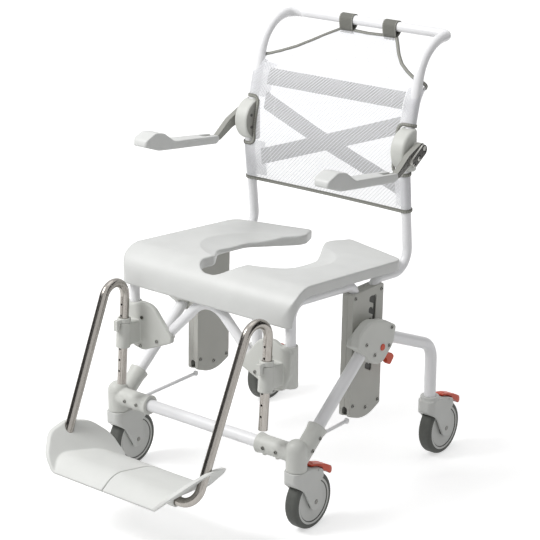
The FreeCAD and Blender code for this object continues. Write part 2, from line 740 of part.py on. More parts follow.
FORK_OUTLINE = [(-23, 0, 1), (-25, -25, 10), (0, -45, 25), (28, -97, 9), (52, -101, 12), (61, -80, 14),
                (55, -50, 8),
                (54, -38, 3), (69, -29, 3), (62, -12, 6), (23, 0, 2)]
PEDAL_OUTLINE = [(34, -1.2, 0.5), (60, -8.2, 4), (70.5, -14, 3), (77, -24, 3), (88, -30, 3), (100, -40, 4),
                 (112, -38, 6),
                 (106, -24, 12), (84, -12, 20), (60, -3.5, 14), (36, 2.5, 2)]
PEDAL_PIN = (46, -10, 2)




def caster(name, x, y):
    """Swivel fork with stem, wheel disc, tyre, axle and brake pedal, at a stem's place."""
    cavity_wide = "wheel_width + 3"
    fork_wide = "wheel_width + 3 + 2 * fork_wall"
    half_wide = (val.wheel_width + 3) / 2 + val.fork_wall
    hinge_y, hinge_z, hinge_r = PEDAL_PIN[0], val.fork_top + PEDAL_PIN[1], PEDAL_PIN[2]

    fork = new_body("caster_fork_" + name)
    pad(fork, "YZ_Plane", outline(moved(FORK_OUTLINE, 0, val.fork_top)), fork_wide)
    ring = fork.newObject("PartDesign::AdditiveCylinder", "ring_" + name)
    bind(ring, Radius="stem_housing / 2", Height="15")
    ring.setExpression("AttachmentOffset.Base.z", bound("fork_top - 15"))
    stem = fork.newObject("PartDesign::AdditiveCylinder", "stem_" + name)
    bind(stem, Radius="base_tube / 2 - base_wall - run_gap", Height="stem_length + 1")
    stem.setExpression("AttachmentOffset.Base.z", bound("fork_top - 1"))
    made_on_top = [ring, stem]
    if name.startswith("rear"):
        collar = fork.newObject("PartDesign::AdditiveCylinder", "collar_" + name)
        bind(collar, Radius="stem_housing / 2 - 1", Height="collar_rise + 1")
        collar.setExpression("AttachmentOffset.Base.z", bound("fork_top - 1"))
        made_on_top.insert(1, collar)
    for made in made_on_top:
        made.AttachmentSupport = [(next(f for f in fork.Origin.OriginFeatures if f.Role == "XY_Plane"), "")]
        made.MapMode = "FlatFace"
    trim(fork, "XY_Plane", outline([(-half_wide, -25, 19), (half_wide, -25, 19), (half_wide, 70, 8),
                                    (-half_wide, 70, 8)]))
    if name.startswith("rear"):
        tube_r = val.base_tube / 2
        ring_space = circle(0, 0, tube_r + val.run_gap) + circle(0, 0, tube_r - val.base_wall - val.run_gap)
        pocket(fork, "XY_Plane", ring_space, "2 * collar_rise", "fork_top + collar_rise")
    pocket(fork, "YZ_Plane", circle(val.trail, wheel_r, wheel_r + 3.5), cavity_wide)
    pocket(fork, "YZ_Plane", circle(val.trail, wheel_r, val.axle_dia / 2 + val.fit), fork_wide)
    pocket(fork, "YZ_Plane", circle(hinge_y, hinge_z, hinge_r + val.run_gap / 2), fork_wide)
    slot = [(-6, hinge_y - 7), (6, hinge_y - 7), (6, hinge_y + 7), (-6, hinge_y + 7)]
    pocket(fork, "XY_Plane", outline(slot), "40", "fork_top")

    rim = wheel_r - val.tyre_depth
    half = val.wheel_width / 2
    disc = spun("wheel_disc_" + name, outline([
        (-half + 0.5, val.axle_dia / 2 + val.run_gap), (half - 0.5, val.axle_dia / 2 + val.run_gap),
        (half - 0.5, 15, 2), (half - 2, 17, 2), (half - 2, rim - 7), (half - 0.5, rim - 5),
        (half - 0.5, rim - val.fit),
        (-half + 0.5, rim - val.fit), (-half + 0.5, rim - 5), (-half + 2, rim - 7), (-half + 2, 17, 2),
        (-half + 0.5, 15, 2)]))
    tyre = spun("tyre_" + name, outline([
        (-half, rim), (half, rim), (half, wheel_r, val.tyre_depth * 0.75),
        (-half, wheel_r, val.tyre_depth * 0.75)]))
    axle = spun("wheel_axle_" + name, outline([
        (-half_wide, 0), (half_wide, 0), (half_wide, val.axle_dia / 2), (-half_wide, val.axle_dia / 2)]))

    lug = primitive("Box", "pedal_lug_" + name, ("-5", "%f" % (hinge_y - 4), "%f" % (hinge_z - 3)),
                    Length="10", Width="8", Height="14")
    cap = new_body("pedal_cap_" + name)
    pad(cap, "YZ_Plane", outline(moved(PEDAL_OUTLINE, 0, val.fork_top)), "pedal_width")
    trim(cap, "XY_Plane", outline([(-11, 30, 6), (11, 30, 6), (14, 92, 30), (10, 113, 9), (-10, 113, 9),
                                   (-14, 92, 30)]))
    pin = primitive("Cylinder", "pedal_pin_" + name, ("-17", "%f" % hinge_y, "%f" % hinge_z), (1, 0, 0),
                    Radius="%f" % hinge_r, Height="34")
    pedal = fuse("brake_pedal_" + name, [cap, lug, pin])

    for piece in (fork, pedal):
        node(place(piece, x, y))
    for piece in (disc, tyre, axle):
        node(place(piece, x, y + " + trail", "wheel_dia / 2"))


def casters():
    for end in ("front", "rear"):
        for side, sign in (("left", ""), ("right", "-")):
            caster(end + "_" + side, sign + "(" + STEM_X + ")", end + "_stem_y")


# Seat unit

def seat_frame():
    both_sides("seat_rail", tube_along("seat_rail_left", rail_path, "seat_tube", "seat_wall"))
    node(tube_along("back_tube", back_path, "seat_tube", "seat_wall"))
    node(tube_along("arch_tube", arch_path, "seat_tube", "seat_wall"))


def seat_plate():
    """Moulded plate: side profile with waterfall apron, horseshoe plan, open at the rear."""
    rear = val.seat_rear_y + 70
    thick, apron, roll = val.seat_thick, val.apron_thick, val.apron_drop * 0.726
    front, inner = val.apron_y, val.apron_y + apron
    foot = seat_top(front) - val.apron_drop
    profile = [
        (rear, seat_top(rear)), (front, seat_top(front), roll), (front, foot, 5),
        (inner, foot, 5), (inner, seat_top(inner) - thick, roll - apron), (rear, seat_top(rear) - thick)]
    body = new_body("seat_blank")
    pad(body, "YZ_Plane", outline(profile), "seat_span + 2 * seat_overhang")
    half, corner = tube_x + val.seat_overhang, val.seat_rear_y
    trim(body, "XY_Plane", outline(mirrored_outline([
        (half, front, 26), (half, corner, 32), (64, corner + 54, 12)])))
    pocket(body, "XY_Plane", outline(mirrored_outline([
        (45, -117, 40), (45, -45, 35), (98, 25, 60), (98, 125, 60), (34, 238, 40), (34, 262, 16),
        (70, 340)])),
        str(2 * FAR))
    middle = val.seat_rear_y - 172
    lift = 16.2
    centre = Vector(0, middle, seat_top(middle)) + LEAN * lift
    dish = primitive("Ellipsoid", "seat_dish", texts(centre), tuple(LEAN),
                     Radius1="35", Radius2="(seat_span + 2 * seat_overhang) * 0.374", Radius3="150")
    dish.Angle1, dish.Angle2, dish.Angle3 = -90, 90, 360
    dished = cut("seat_dished", body, [dish])
    rim = tube_x + 8

    def inner_edge(point):
        return abs(point.x) <= rim and front + 25 < point.y <= corner + 16

    upper = softened("aperture_rim", dished, 3, lambda point, low, high: high > 0.5 and inner_edge(point))
    lower = softened("aperture_foot", upper, 5,
                     lambda point, low, high: low < -0.5 and high < 0.5 and inner_edge(point))
    tube_space = rod_along("seat_tube_space", back_path, "seat_tube / 2 + run_gap")
    node(cut("seat_plate", lower, [tube_space]))


def box_outline(inset):
    """Side view of a side box, drawn in by a wall."""
    front, rear = val.box_front_y + inset, val.box_front_y + val.box_depth - inset
    top, foot = val.box_top_z - inset, val.box_foot_z + inset
    middle = (front + rear) / 2
    soft = 5.0
    back = val.box_lean
    side = [(rear, foot, soft), (rear + back, top, soft), (front + back, top, soft), (front, foot, soft)]
    return side + [(middle, foot - 2 * val.box_belly, val.box_depth * 0.8)]


def hooked_slot():
    """Straight channel with a row of hooks; the lock pin rests in one hook."""
    clear = val.pin_dia / 2 + val.run_gap
    wide = val.tip_dia + 2
    channel = pin_y + val.tip_back - wide / 2
    hooks = [pin_z + LEAN.z * val.hook_pitch * k for k in range(-2, 5)]
    points = []
    for z in hooks:
        points += [(channel, z - 13), (pin_y - clear, z - clear, 3), (pin_y - clear, z + clear, 5),
                   (pin_y + 4, z + clear, 4), (channel, z - 1)]
    top, foot = hooks[-1] + val.tip_dia / 2 + 4, hooks[0] - 16
    points[-1] = (channel, top - 4, 3)
    points += [(channel + wide, top - 2, 5), (channel + wide, foot, 5), (channel, foot, 5)]
    return [(y + val.leg_lean * (z - pin_z), z, *radius) for y, z, *radius in points]


BOX_SCREWS = [(88, 451), (181, 449), (82, 207), (128, 190), (173, 194)]


def side_boxes():
    """Two half shells; the outer one has the hooked slot, both hold the tube ends."""
    shell = new_body("box_shell")
    pad(shell, "YZ_Plane", outline(box_outline(0)), "box_thick", "seat_span / 2")
    pocket(shell, "YZ_Plane", outline(box_outline(val.box_wall)), "box_thick - 2 * box_wall",
           "seat_span / 2")
    notch_wide, notch_high = 13.0, 20.0
    notch = [(tube_x - notch_wide / 2, val.box_foot_z - 30), (tube_x + notch_wide / 2, val.box_foot_z - 30),
             (tube_x + notch_wide / 2, val.box_foot_z + notch_high, 6.4),
             (tube_x - notch_wide / 2, val.box_foot_z + notch_high, 6.4)]
    pocket(shell, "XZ_Plane", outline(notch), "2 * box_wall + 24", "-box_front_y")
    bores = [rod_along("box_rail_bore", rail_path, "seat_tube / 2 + fit"),
             rod_along("box_back_bore", back_path, "seat_tube / 2 + fit")]
    open_shell = cut("box_open_shell", shell, bores)
    tall = val.box_top_z - val.box_foot_z + 100
    for name, x in (("outer", "seat_span / 2"), ("inner", "seat_span / 2 - box_thick")):
        half = primitive("Box", "box_half_" + name, (x, "box_front_y - 20", "box_foot_z - 50"),
                         Length="box_thick", Width="box_depth + 40", Height="%f" % tall)
        piece = common("box_" + name, open_shell, half)
        if name == "outer":
            slot = new_body("box_slot")
            pad(slot, "YZ_Plane", outline(hooked_slot()), "4 * box_wall", "seat_span / 2 + box_thick / 2")
            piece = cut("box_slotted", piece, [slot])
            face, way = tube_x + val.box_thick / 2, 1
        else:
            face, way = tube_x - val.box_thick / 2, -1
        holes = [screw("seat", (face, y, z), (way, 0, 0), val.box_wall + 2) for y, z in BOX_SCREWS]
        piece = cut("box_drilled_" + name, piece, holes)
        both_sides("side_box_" + name, piece)


BRACKET_OUTLINE = [(17, 352, 22), (17, 397, 8), (-11, 403, 6), (-31, 413, 20), (-67, 411, 40),
                   (-99, 372, 25), (-120, 350, 9), (-120, 336, 7), (-103, 328, 10), (-79, 318, 30),
                   (-37, 300, 25), (-4, 306, 20)]
BRACKET_CORE = [(5, 345, 10), (5, 392, 6), (-29, 397, 14), (-61, 393, 30), (-87, 362, 20),
                (-99, 348, 6), (-77, 334, 20), (-35, 318, 16), (-9, 322, 12)]
BRACKET_SCREWS = [(-37, 377), (-79, 331), (-30, 310)]


def legrest_bracket():
    """Fan-shaped moulding on the seat frame's front leg, with the leg rest clamp and the arch socket."""
    front = val.bracket_front_y
    body = new_body("bracket_fan")
    pad(body, "XZ_Plane", outline(moved(BRACKET_OUTLINE, tube_x, 0)), "bracket_thick",
        "-bracket_front_y - bracket_thick / 2")
    doc.recompute()
    soft = doc.addObject("Part::Fillet", "bracket_soft")
    soft.Base = body
    soft.Edges = [(i + 1, 4.0, 4.0) for i, e in enumerate(body.Shape.Edges)
                  if abs(e.BoundBox.YMin - front) < 1e-3 and abs(e.BoundBox.YMax - front) < 1e-3]
    core = new_body("bracket_core")
    pad(core, "XZ_Plane", outline(moved(BRACKET_CORE, tube_x, 0)), "2 * seat_tube", "-front_leg_y - 0.1")
    core_cut = primitive("Box", "bracket_core_limit", ("seat_span / 2 - 137", "bracket_front_y + 2", "280"),
                         Length="200", Width="bracket_thick + seat_tube / 2 + 2", Height="160")
    core_part = common("bracket_core_part", core, core_cut)
    clamp_r = "leg_tube / 2 + run_gap + clamp_wall"
    foot, top = leg_axis(val.clamp_foot_z), leg_axis(val.clamp_top_z)
    length = (Vector(*top) - Vector(*foot)).Length
    clamp = primitive("Cylinder", "bracket_clamp", texts(foot), tuple(LEAN), Radius=clamp_r,
                      Height="%f" % length)
    web_wide = val.leg_tube + 6
    web = primitive("Box", "bracket_web",
                    (LEG_X + " - %f" % (web_wide / 2), "%f" % foot[1], "clamp_foot_z + 4"),
                    Length="%f" % web_wide, Width="%f" % (val.front_leg_y - foot[1]),
                    Height="clamp_top_z - clamp_foot_z - 8")
    sleeve = primitive("Cylinder", "bracket_leg_sleeve",
                       ("seat_span / 2", "front_leg_y", "front_leg_foot - 18"),
                       Radius="seat_tube / 2 + 5", Height="404 + 18 - front_leg_foot")
    arch_way = (-1, 0, 1)
    arch = primitive("Cylinder", "bracket_arch_sleeve",
                     ("seat_span / 2 - arch_in", "arch_y", "arch_foot_z"), arch_way,
                     Radius="seat_tube / 2 + 4.5", Height="14")
    bores = [
        rod_along("bracket_leg_bore", rail_path, "seat_tube / 2 + fit"),
        rod_along("bracket_arch_bore", arch_path, "seat_tube / 2 + fit"),
        primitive("Cylinder", "bracket_tube_bore", texts(leg_axis(val.clamp_foot_z - 20)), tuple(LEAN),
                  Radius="leg_tube / 2 + run_gap", Height="%f" % (length + 40)),
    ]
    for x, z in moved(BRACKET_SCREWS, tube_x, 0):
        bores.append(screw("seat", (x, front, z), (0, -1, 0), val.bracket_thick / 2))
    solid = fuse("bracket_solid", [soft, core_part, clamp, web, sleeve, arch])
    both_sides("legrest_bracket", cut("legrest_bracket_left", solid, bores))


def arm_clamp():
    """Half-round block on the back tube, with the boss and pin that carry the armrest."""
    body = new_body("clamp_block")
    r = val.clamp_disc / 2
    z = val.clamp_disc_z
    y = val.waist_y + 16
    shape = [Part.Arc(Vector(y, z + r, 0), Vector(y - r, z, 0), Vector(y, z - r, 0))]
    shape += [Part.LineSegment(Vector(y, z - r, 0), Vector(y + 2, z - r, 0)),
              Part.LineSegment(Vector(y + 2, z - r, 0), Vector(y + 2, z + r, 0)),
              Part.LineSegment(Vector(y + 2, z + r, 0), Vector(y, z + r, 0))]
    pad(body, "YZ_Plane", shape, "clamp_disc_thick", "seat_span / 2")
    doc.recompute()
    soft = doc.addObject("Part::Fillet", "clamp_soft")
    soft.Base = body
    soft.Edges = [(i + 1, 8.0, 8.0) for i, e in enumerate(body.Shape.Edges)
                  if e.Curve.TypeId == "Part::GeomCircle" and e.Curve.Radius > r - 1]
    reach = arm_x + val.link_thick / 2
    boss = primitive("Cylinder", "clamp_boss", ("%f" % tube_x, "pivot_y", "pivot_z"), (1, 0, 0),
                     Radius="pivot_dia", Height=ARM_X + " + 2 - link_thick / 2 - run_gap - seat_span / 2")
    pin = primitive("Cylinder", "clamp_pin",
                    ("%f" % (tube_x + val.seat_tube / 2 + 2), "pivot_y", "pivot_z"), (1, 0, 0),
                    Radius="pivot_dia / 2", Height="%f" % (reach + 6 - tube_x - val.seat_tube / 2 - 2))
    bore = rod_along("clamp_bore", back_path, "seat_tube / 2 + fit")
    both_sides("arm_clamp", cut("arm_clamp_left", fuse("clamp_solid", [soft, boss, pin]), [bore]))


# Armrests

def arm_link():
    """Goose-neck from the pivot to the pad, with its outer side plate."""
    y, z, rear = val.pivot_y, val.pivot_z, val.pad_rear_y
    neck = [(y + 13, z + 2, 11), (y - 2, z + 14, 11), (y - 50, z - 6, 20), (rear + 8, z - 36, 8),
            (rear - 60, z - 29, 3),
            (rear - 60, z - 37, 3), (rear + 14, z - 48, 12), (y - 40, z - 26, 20), (y + 8, z - 13, 11)]
    body = new_body("link_neck_bar")
    pad(body, "YZ_Plane", outline(neck), "link_thick", ARM_X + " + 2")
    plate = new_body("link_side_plate")
    side = [(y + 12, z + 1, 10), (y - 1, z + 12, 10), (y - 46, z - 18, 11), (y - 38, z - 40, 10),
            (y + 8, z - 11, 10)]
    pad(plate, "YZ_Plane", outline(side), "4", ARM_X + " + 2 + link_thick / 2 + 2")
    face = ARM_X + " + 2 + link_thick / 2 + 3"
    heads = [primitive("Cylinder", "plate_screw", (face, "%f" % (y + dy), "%f" % (z + dz)), (1, 0, 0),
                       Radius="screw_dia / 2", Height="screw_high + 1") for dy,
                       dz in ((-19, -17), (-37, -29))]
    bore = primitive("Cylinder", "link_bore", (ARM_X + " - 30", "pivot_y", "pivot_z"), (1, 0, 0),
                     Radius="pivot_dia / 2 + run_gap", Height="80")
    both_sides("arm_link", cut("arm_link_left", fuse("arm_link_solid", [body, plate] + heads), [bore]))


def arm_pad():
    """Armrest with a raised nose and a dip behind it."""
    front, rear, z = val.pad_front_y, val.pad_rear_y, val.pivot_z
    top = [(rear, z - 32, 6), (front + 95, z - 12, 20), (front + 62, z + 12, 22), (front + 34, z + 18, 18),
           (front + 5, z + 7, 12), (front, z - 8, 5), (front + 44, z - 24, 25), (rear - 12, z - 49, 8),
           (rear, z - 44, 5)]
    body = new_body("pad_block")
    pad(body, "YZ_Plane", outline(top), "pad_width", ARM_X)
    half = val.pad_width / 2
    trim(body, "XY_Plane", outline([
        (arm_x - half, front - 1, 14), (arm_x + half, front - 1, 14), (arm_x + half, front + 90, 200),
        (arm_x + half - 4, rear + 1, 6), (arm_x - half + 4, rear + 1, 6), (arm_x - half, front + 90, 200)]))
    slot = new_body("pad_slot")
    pad(slot, "YZ_Plane", outline([
        (rear + 20, z - 20), (rear - 61, z - 28.5), (rear - 61, z - 37.5), (rear + 20, z - 60)]),
        "link_thick + 2 * fit", ARM_X + " + 2")
    both_sides("arm_pad", cut("arm_pad_left", body, [slot]))


# Leg rests

def legrest_collar():
    """Ring above the clamp with the lock tab in front; it turns with the tube."""
    foot = Vector(*leg_axis(val.clamp_top_z)) + LEAN * val.run_gap
    at = texts(foot)
    ring_r = val.leg_tube / 2 + val.run_gap + val.clamp_wall - 1
    ring = primitive("Cylinder", "collar_ring", at, tuple(LEAN), Radius="%f" % ring_r,
                     Height="collar_height")
    tab_drop = 14
    tab_gap = ring_r + 1 + 2 * val.run_gap + tab_drop * val.leg_lean
    tab = primitive("Box", "collar_tab",
                    (LEG_X + " - 5.5", "%f" % (foot.y - tab_gap - 9), "clamp_top_z - %f" % tab_drop),
                    Length="11", Width="9", Height="%f + collar_height" % tab_drop)
    bridge = primitive("Box", "collar_bridge",
                       (LEG_X + " - 5.5", "%f" % (foot.y - tab_gap - 2), "clamp_top_z + 2"),
                       Length="11", Width="%f" % (tab_gap - 6), Height="collar_height - 2")
    bore = primitive("Cylinder", "collar_bore", texts(leg_axis(val.clamp_top_z - 30)), tuple(LEAN),
                     Radius="leg_tube / 2 + run_gap", Height="80")
    both_sides("legrest_collar", cut("legrest_collar_left", fuse("collar_solid", [ring, tab, bridge]),
                                     [bore]))


def legrest_tube():
    """Hooked steel tube with a row of adjusting holes."""
    tube = tube_along("leg_plain", leg_path, "leg_tube", "leg_wall")
    holes = []
    for step in range(-4, 4):
        at = leg_axis(val.leg_ref_z + val.hook_pitch * step)
        if at[2] > val.leg_foot_z + 8:
            holes.append(primitive("Cylinder", "leg_hole", (LEG_X, "%f" % (at[1] - 15), "%f" % at[2]),
                                   (0, 1, 0),
                                   Radius="2.5", Height="15"))
    both_sides("legrest_tube", cut("legrest_tube_left", tube, holes))


def plate_profile():
    """Side view of a footplate's top: a crown near the front, falling to both edges."""
    crown = val.plate_crown_z
    front, rear = val.plate_front_y, val.plate_rear_y
    return [(front, crown - val.plate_front_drop), (front + 38, crown + 7, 62),
            (rear - 48, crown - 13.5, 120),
            (rear, crown - val.plate_rear_drop)]


def footplate():
    """Half of the foot rest: crowned floor, sloping wing round the tube, and two lugs on the bar."""
    top = plate_profile()
    under = offset_corners(top, -val.plate_thick)
    floor = new_body("plate_floor")
    width = plate_half - val.plate_gap / 2
    pad(floor, "YZ_Plane", outline(top + under[::-1]), "%f" % width, "%f" % (val.plate_gap / 2 + width / 2))
    # The wing slopes up and out at 45 degrees, and is round when seen from the side.
    wing = new_body("plate_wing")
    start = val.plate_crown_z - plate_half + 4
    slant = val.plate_thick * math.sqrt(2)
    inner, outer = plate_half - 50, plate_half + val.wing_rise + 12
    section = [(inner, inner + start), (outer, outer + start), (outer, outer + start - slant),
               (inner, inner + start - slant)]
    pad(wing, "XZ_Plane", outline(section), str(FAR))
    below = start - slant / 2
    pocket(floor, "XZ_Plane", outline([(inner, inner + below), (outer, outer + below), (outer, 0),
                                       (inner, 0)]), str(FAR))
    summit = val.plate_crown_z + val.wing_rise
    front, rear = val.plate_front_y, val.plate_rear_y
    trim(wing, "YZ_Plane", outline(under + [
        (rear + 7, under[-1][1] + 8, 5), (rear + 4, summit - 40, 35), (rear - 24, summit - 11, 40),
        (rear - 78, summit + 5, 70), (front + 50, summit - 2, 60), (front + 9, summit - 34, 40),
        (front, under[0][1] + 6, 4)]))
    lug_r = val.leg_tube / 2 + 4.5
    pieces = [floor, wing]
    for x in (val.bar_foot_end + 14, val.bar_foot_end + 60):
        pieces.append(primitive("Cylinder", "plate_lug", ("%f" % x, "%f" % bar_foot_y, "bar_foot_z"),
                                (1, 0, 0),
                                Radius="%f" % lug_r, Height="18"))
        pieces.append(primitive("Box", "plate_web", ("%f" % x, "%f" % (bar_foot_y - lug_r), "bar_foot_z"),
                                Length="18", Width="%f" % (2 * lug_r),
                                Height="plate_crown_z - plate_thick + 2 - bar_foot_z"))
    bore = rod_along("plate_bore", leg_path, "leg_tube / 2 + fit")
    both_sides("footplate", cut("footplate_left", fuse("plate_solid", pieces), [bore]))


# Mesh back

def back_side_line():
    """Side view of the back tubes' axis from the lower edge of the mesh to the push bar."""
    rise = (val.mesh_foot_z - rail_z(val.back_y)) / (val.waist_z - rail_z(val.back_y))
    foot = (val.back_y + (val.waist_y - val.back_y) * rise, val.mesh_foot_z)
    break_z = 850.0
    share = (break_z - val.waist_z) / (val.bar_z - val.waist_z)
    break_y = val.waist_y + (val.shoulder_y - val.waist_y) * share
    return [foot, (val.waist_y, val.waist_z, 200), (break_y, break_z, 80), (val.bar_y, val.bar_z)]


def back_sheet(label, near, far, width):
    """A sheet that follows the back tubes, between two distances from their axis."""
    line = back_side_line()
    front, behind = offset_corners(line, far), offset_corners(line, near)
    body = new_body(label)
    pad(body, "YZ_Plane", outline(front + behind[::-1]), width)
    return body


def mesh_back():
    clear = val.seat_tube / 2 + 0.5
    side = tube_x + val.seat_tube / 2 + 3
    sheet_body = back_sheet("mesh_sheet", clear, clear + val.mesh_thick, "%f" % (2 * side))
    clamp_top = val.clamp_disc_z + val.clamp_disc / 2 + 6
    clamp_foot = val.clamp_disc_z - val.clamp_disc / 2 - 6
    notch_x = tube_x - val.clamp_disc_thick / 2 - 4
    trim(sheet_body, "XZ_Plane", outline(mirrored_outline([
        (side, val.mesh_foot_z + 2, 12), (side, clamp_foot, 2), (notch_x, clamp_foot + 4, 12),
        (notch_x, clamp_top - 4, 12),
        (side, clamp_top, 2), (side, val.mesh_shoulder_z, 3), (160, val.mesh_shoulder_z + 24, 150),
        (val.mesh_neck, val.bar_z - 8, 15), (val.mesh_neck - 4, val.bar_z + 4, 3)])))
    node(cut("back_mesh", sheet_body, [rod_along("mesh_tube_space", back_path, "seat_tube / 2 + fit")]))


def back_straps():
    """Rear tension straps behind the tubes, and the loops that hold the mesh to the push bar."""
    near = -(val.seat_tube / 2 + 0.5)
    far = near - 1.6
    side = tube_x + val.seat_tube / 2
    half = val.strap_width / 2

    def band(label, z_left, z_right):
        body = back_sheet(label, near, far, "%f" % (2 * side))
        lean = (z_left - z_right) / (2 * side)
        high = half * math.hypot(1, lean)
        trim(body, "XZ_Plane", outline([(side, z_left - high), (side, z_left + high),
                                        (-side, z_right + high), (-side, z_right - high)]))
        return body

    high, middle, low = val.waist_z + 120, val.waist_z + 100, val.waist_z - 70
    straps = [band("strap_upper", high, high), band("strap_rising", middle, low),
              band("strap_falling", low, middle)]
    loops = []
    for x in (val.loop_x, -val.loop_x):
        skin = primitive("Cylinder", "loop_skin", ("%f" % (x - val.loop_width / 2), "bar_y", "bar_z"),
                         (1, 0, 0),
                         Radius="seat_tube / 2 + 2.2", Height="loop_width")
        hole = primitive("Cylinder", "loop_hole", ("%f" % (x - val.loop_width), "bar_y", "bar_z"),
                         (1, 0, 0),
                         Radius="seat_tube / 2 + 0.3", Height="2 * loop_width")
        loops.append(cut("loop", skin, [hole]))
    group = doc.addObject("Part::Compound", "back_straps")
    group.Links = [fuse("straps", straps)] + loops
    node(group)


def screw_nodes():
    """The screws of each rigid group as one node, both sides of the chair."""
    for group, left in screws.items():
        half = doc.addObject("Part::Compound", group + "_screws_half")
        half.Links = left
        both = doc.addObject("Part::Compound", group + "_screws")
        both.Links = [half, mirrored(group + "_screws_other_half", half)]
        node(both)


def build():
    base_tubes()
    front_corner()
    swing_link()
    height_head()
    release_lever()
    lock_pin()
    casters()
    seat_frame()
    seat_plate()
    side_boxes()
    legrest_bracket()
    arm_clamp()
    arm_link()
    arm_pad()
    legrest_collar()
    legrest_tube()
    footplate()
    mesh_back()
    back_straps()
    screw_nodes()


def check():
    """Stops before anything is written if an object failed or a shape is not sound."""
    faults = [o.Label for o in doc.Objects if "Invalid" in o.State or "Error" in o.State]
    for piece in nodes:
        if piece.Shape.isNull() or not piece.Shape.isValid() or not piece.Shape.Solids:
            faults.append(piece.Label)
    if faults:
        raise RuntimeError("failed: " + ", ".join(faults))


build()
doc.recompute()
check()
os.makedirs("parts", exist_ok=True)
for piece in nodes:
    piece.Shape.exportStep("parts/%s.step" % piece.Label)
    print("%-28s %2d solid(s) %10.0f mm3" % (piece.Label, len(piece.Shape.Solids), piece.Shape.Volume))
print(len(nodes), "nodes")
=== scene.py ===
import json
import math

import bpy
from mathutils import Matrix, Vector


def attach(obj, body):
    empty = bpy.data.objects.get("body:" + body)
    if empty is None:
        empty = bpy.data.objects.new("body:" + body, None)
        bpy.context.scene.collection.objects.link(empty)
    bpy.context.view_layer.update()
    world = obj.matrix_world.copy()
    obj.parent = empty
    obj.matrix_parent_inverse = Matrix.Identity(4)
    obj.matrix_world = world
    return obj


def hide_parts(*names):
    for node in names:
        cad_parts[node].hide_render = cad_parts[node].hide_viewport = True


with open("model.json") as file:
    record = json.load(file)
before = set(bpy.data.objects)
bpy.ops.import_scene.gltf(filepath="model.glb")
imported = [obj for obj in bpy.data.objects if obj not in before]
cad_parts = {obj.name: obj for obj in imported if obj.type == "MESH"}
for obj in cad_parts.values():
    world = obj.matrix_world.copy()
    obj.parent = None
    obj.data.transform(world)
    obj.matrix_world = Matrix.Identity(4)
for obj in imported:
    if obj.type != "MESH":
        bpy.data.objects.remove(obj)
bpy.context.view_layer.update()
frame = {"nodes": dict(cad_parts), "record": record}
nodes = frame["nodes"]
scene = bpy.context.scene
MM = 0.001
SIDES = (("left", 1), ("right", -1))
CORNERS = ("front_left", "front_right", "rear_left", "rear_right")


# Camera, floor and light; sizes in metres

AZIMUTH, ELEVATION = 39.0, 19.0
LOOK_AT = Vector((13.4, 69.1, 473.8)) * MM
DISTANCE = 4.011
FOCAL_PIXELS, IMAGE_PIXELS, SENSOR_MM = 1845.2, 540, 36.0

FLOOR_SIZE = 40
GLOW_STARTS, GLOW_ENDS = 0.3, 2.2
GLOW_NEAR, GLOW_FAR = 0.54, 0.80
SURROUND_LIGHT, SURROUND_SEEN = 0.40, 1.0

# Name, place, aim, size and watts of each lamp
LAMPS = (
    ("key_lamp", (-1.2, -1.8, 2.6), (0, 0.05, 0.5), 1.2, 64),
    ("top_lamp", (-0.2, 0.4, 3.2), (0, 0.1, 0.4), 2.0, 13),
    ("rear_lamp", (1.8, 2.2, 2.0), (0, 0.1, 0.6), 1.6, 6),
)
CARD_SIZE, CARD_AWAY, CARD_HEIGHT = 4.4, 2.4, 0.8
CARD_TURNS = {"dark_card_left": AZIMUTH - 74, "dark_card_right": AZIMUTH + 94}


def set_camera():
    """Puts the camera where the photograph was taken from."""
    turn, tilt = math.radians(AZIMUTH), math.radians(ELEVATION)
    level = math.cos(tilt)
    back = Vector((math.sin(turn) * level, -math.cos(turn) * level, math.sin(tilt)))
    bpy.ops.object.camera_add(location=LOOK_AT + back * DISTANCE, rotation=(math.pi / 2 - tilt, 0, turn))
    camera = bpy.context.object
    camera.data.sensor_width = SENSOR_MM
    camera.data.lens = FOCAL_PIXELS / IMAGE_PIXELS * SENSOR_MM
    scene.camera = camera


def hex_colour(text):
    """Turns an sRGB hex value into linear colour."""
    parts = [int(text[i:i + 2], 16) / 255 for i in (1, 3, 5)]
    return [p / 12.92 if p <= 0.04045 else ((p + 0.055) / 1.055) ** 2.4 for p in parts] + [1.0]


def add_node(tree, kind, inputs=None, **settings):
    """Adds a shader node with its settings; an input that is a socket is linked, any other is set."""
    made = tree.nodes.new(kind)
    for name, value in settings.items():
        setattr(made, name, value)
    for name, value in (inputs or {}).items():
        if isinstance(value, bpy.types.NodeSocket):
            tree.links.new(value, made.inputs[name])
        else:
            made.inputs[name].default_value = value
    return made


def new_material(name):
    """An empty material and its node tree."""
    material = bpy.data.materials.new(name)
    material.use_nodes = True
    material.node_tree.nodes.clear()
    return material, material.node_tree


def area_lamp(name, at, aim, size, power):
    """A square lamp at a place that shines towards its aim."""
    bpy.ops.object.light_add(type="AREA", location=at)
    lamp = bpy.context.object
    lamp.name = name
    lamp.data.size = size
    lamp.data.energy = power
    lamp.rotation_euler = (Vector(aim) - Vector(at)).to_track_quat("-Z", "Y").to_euler()


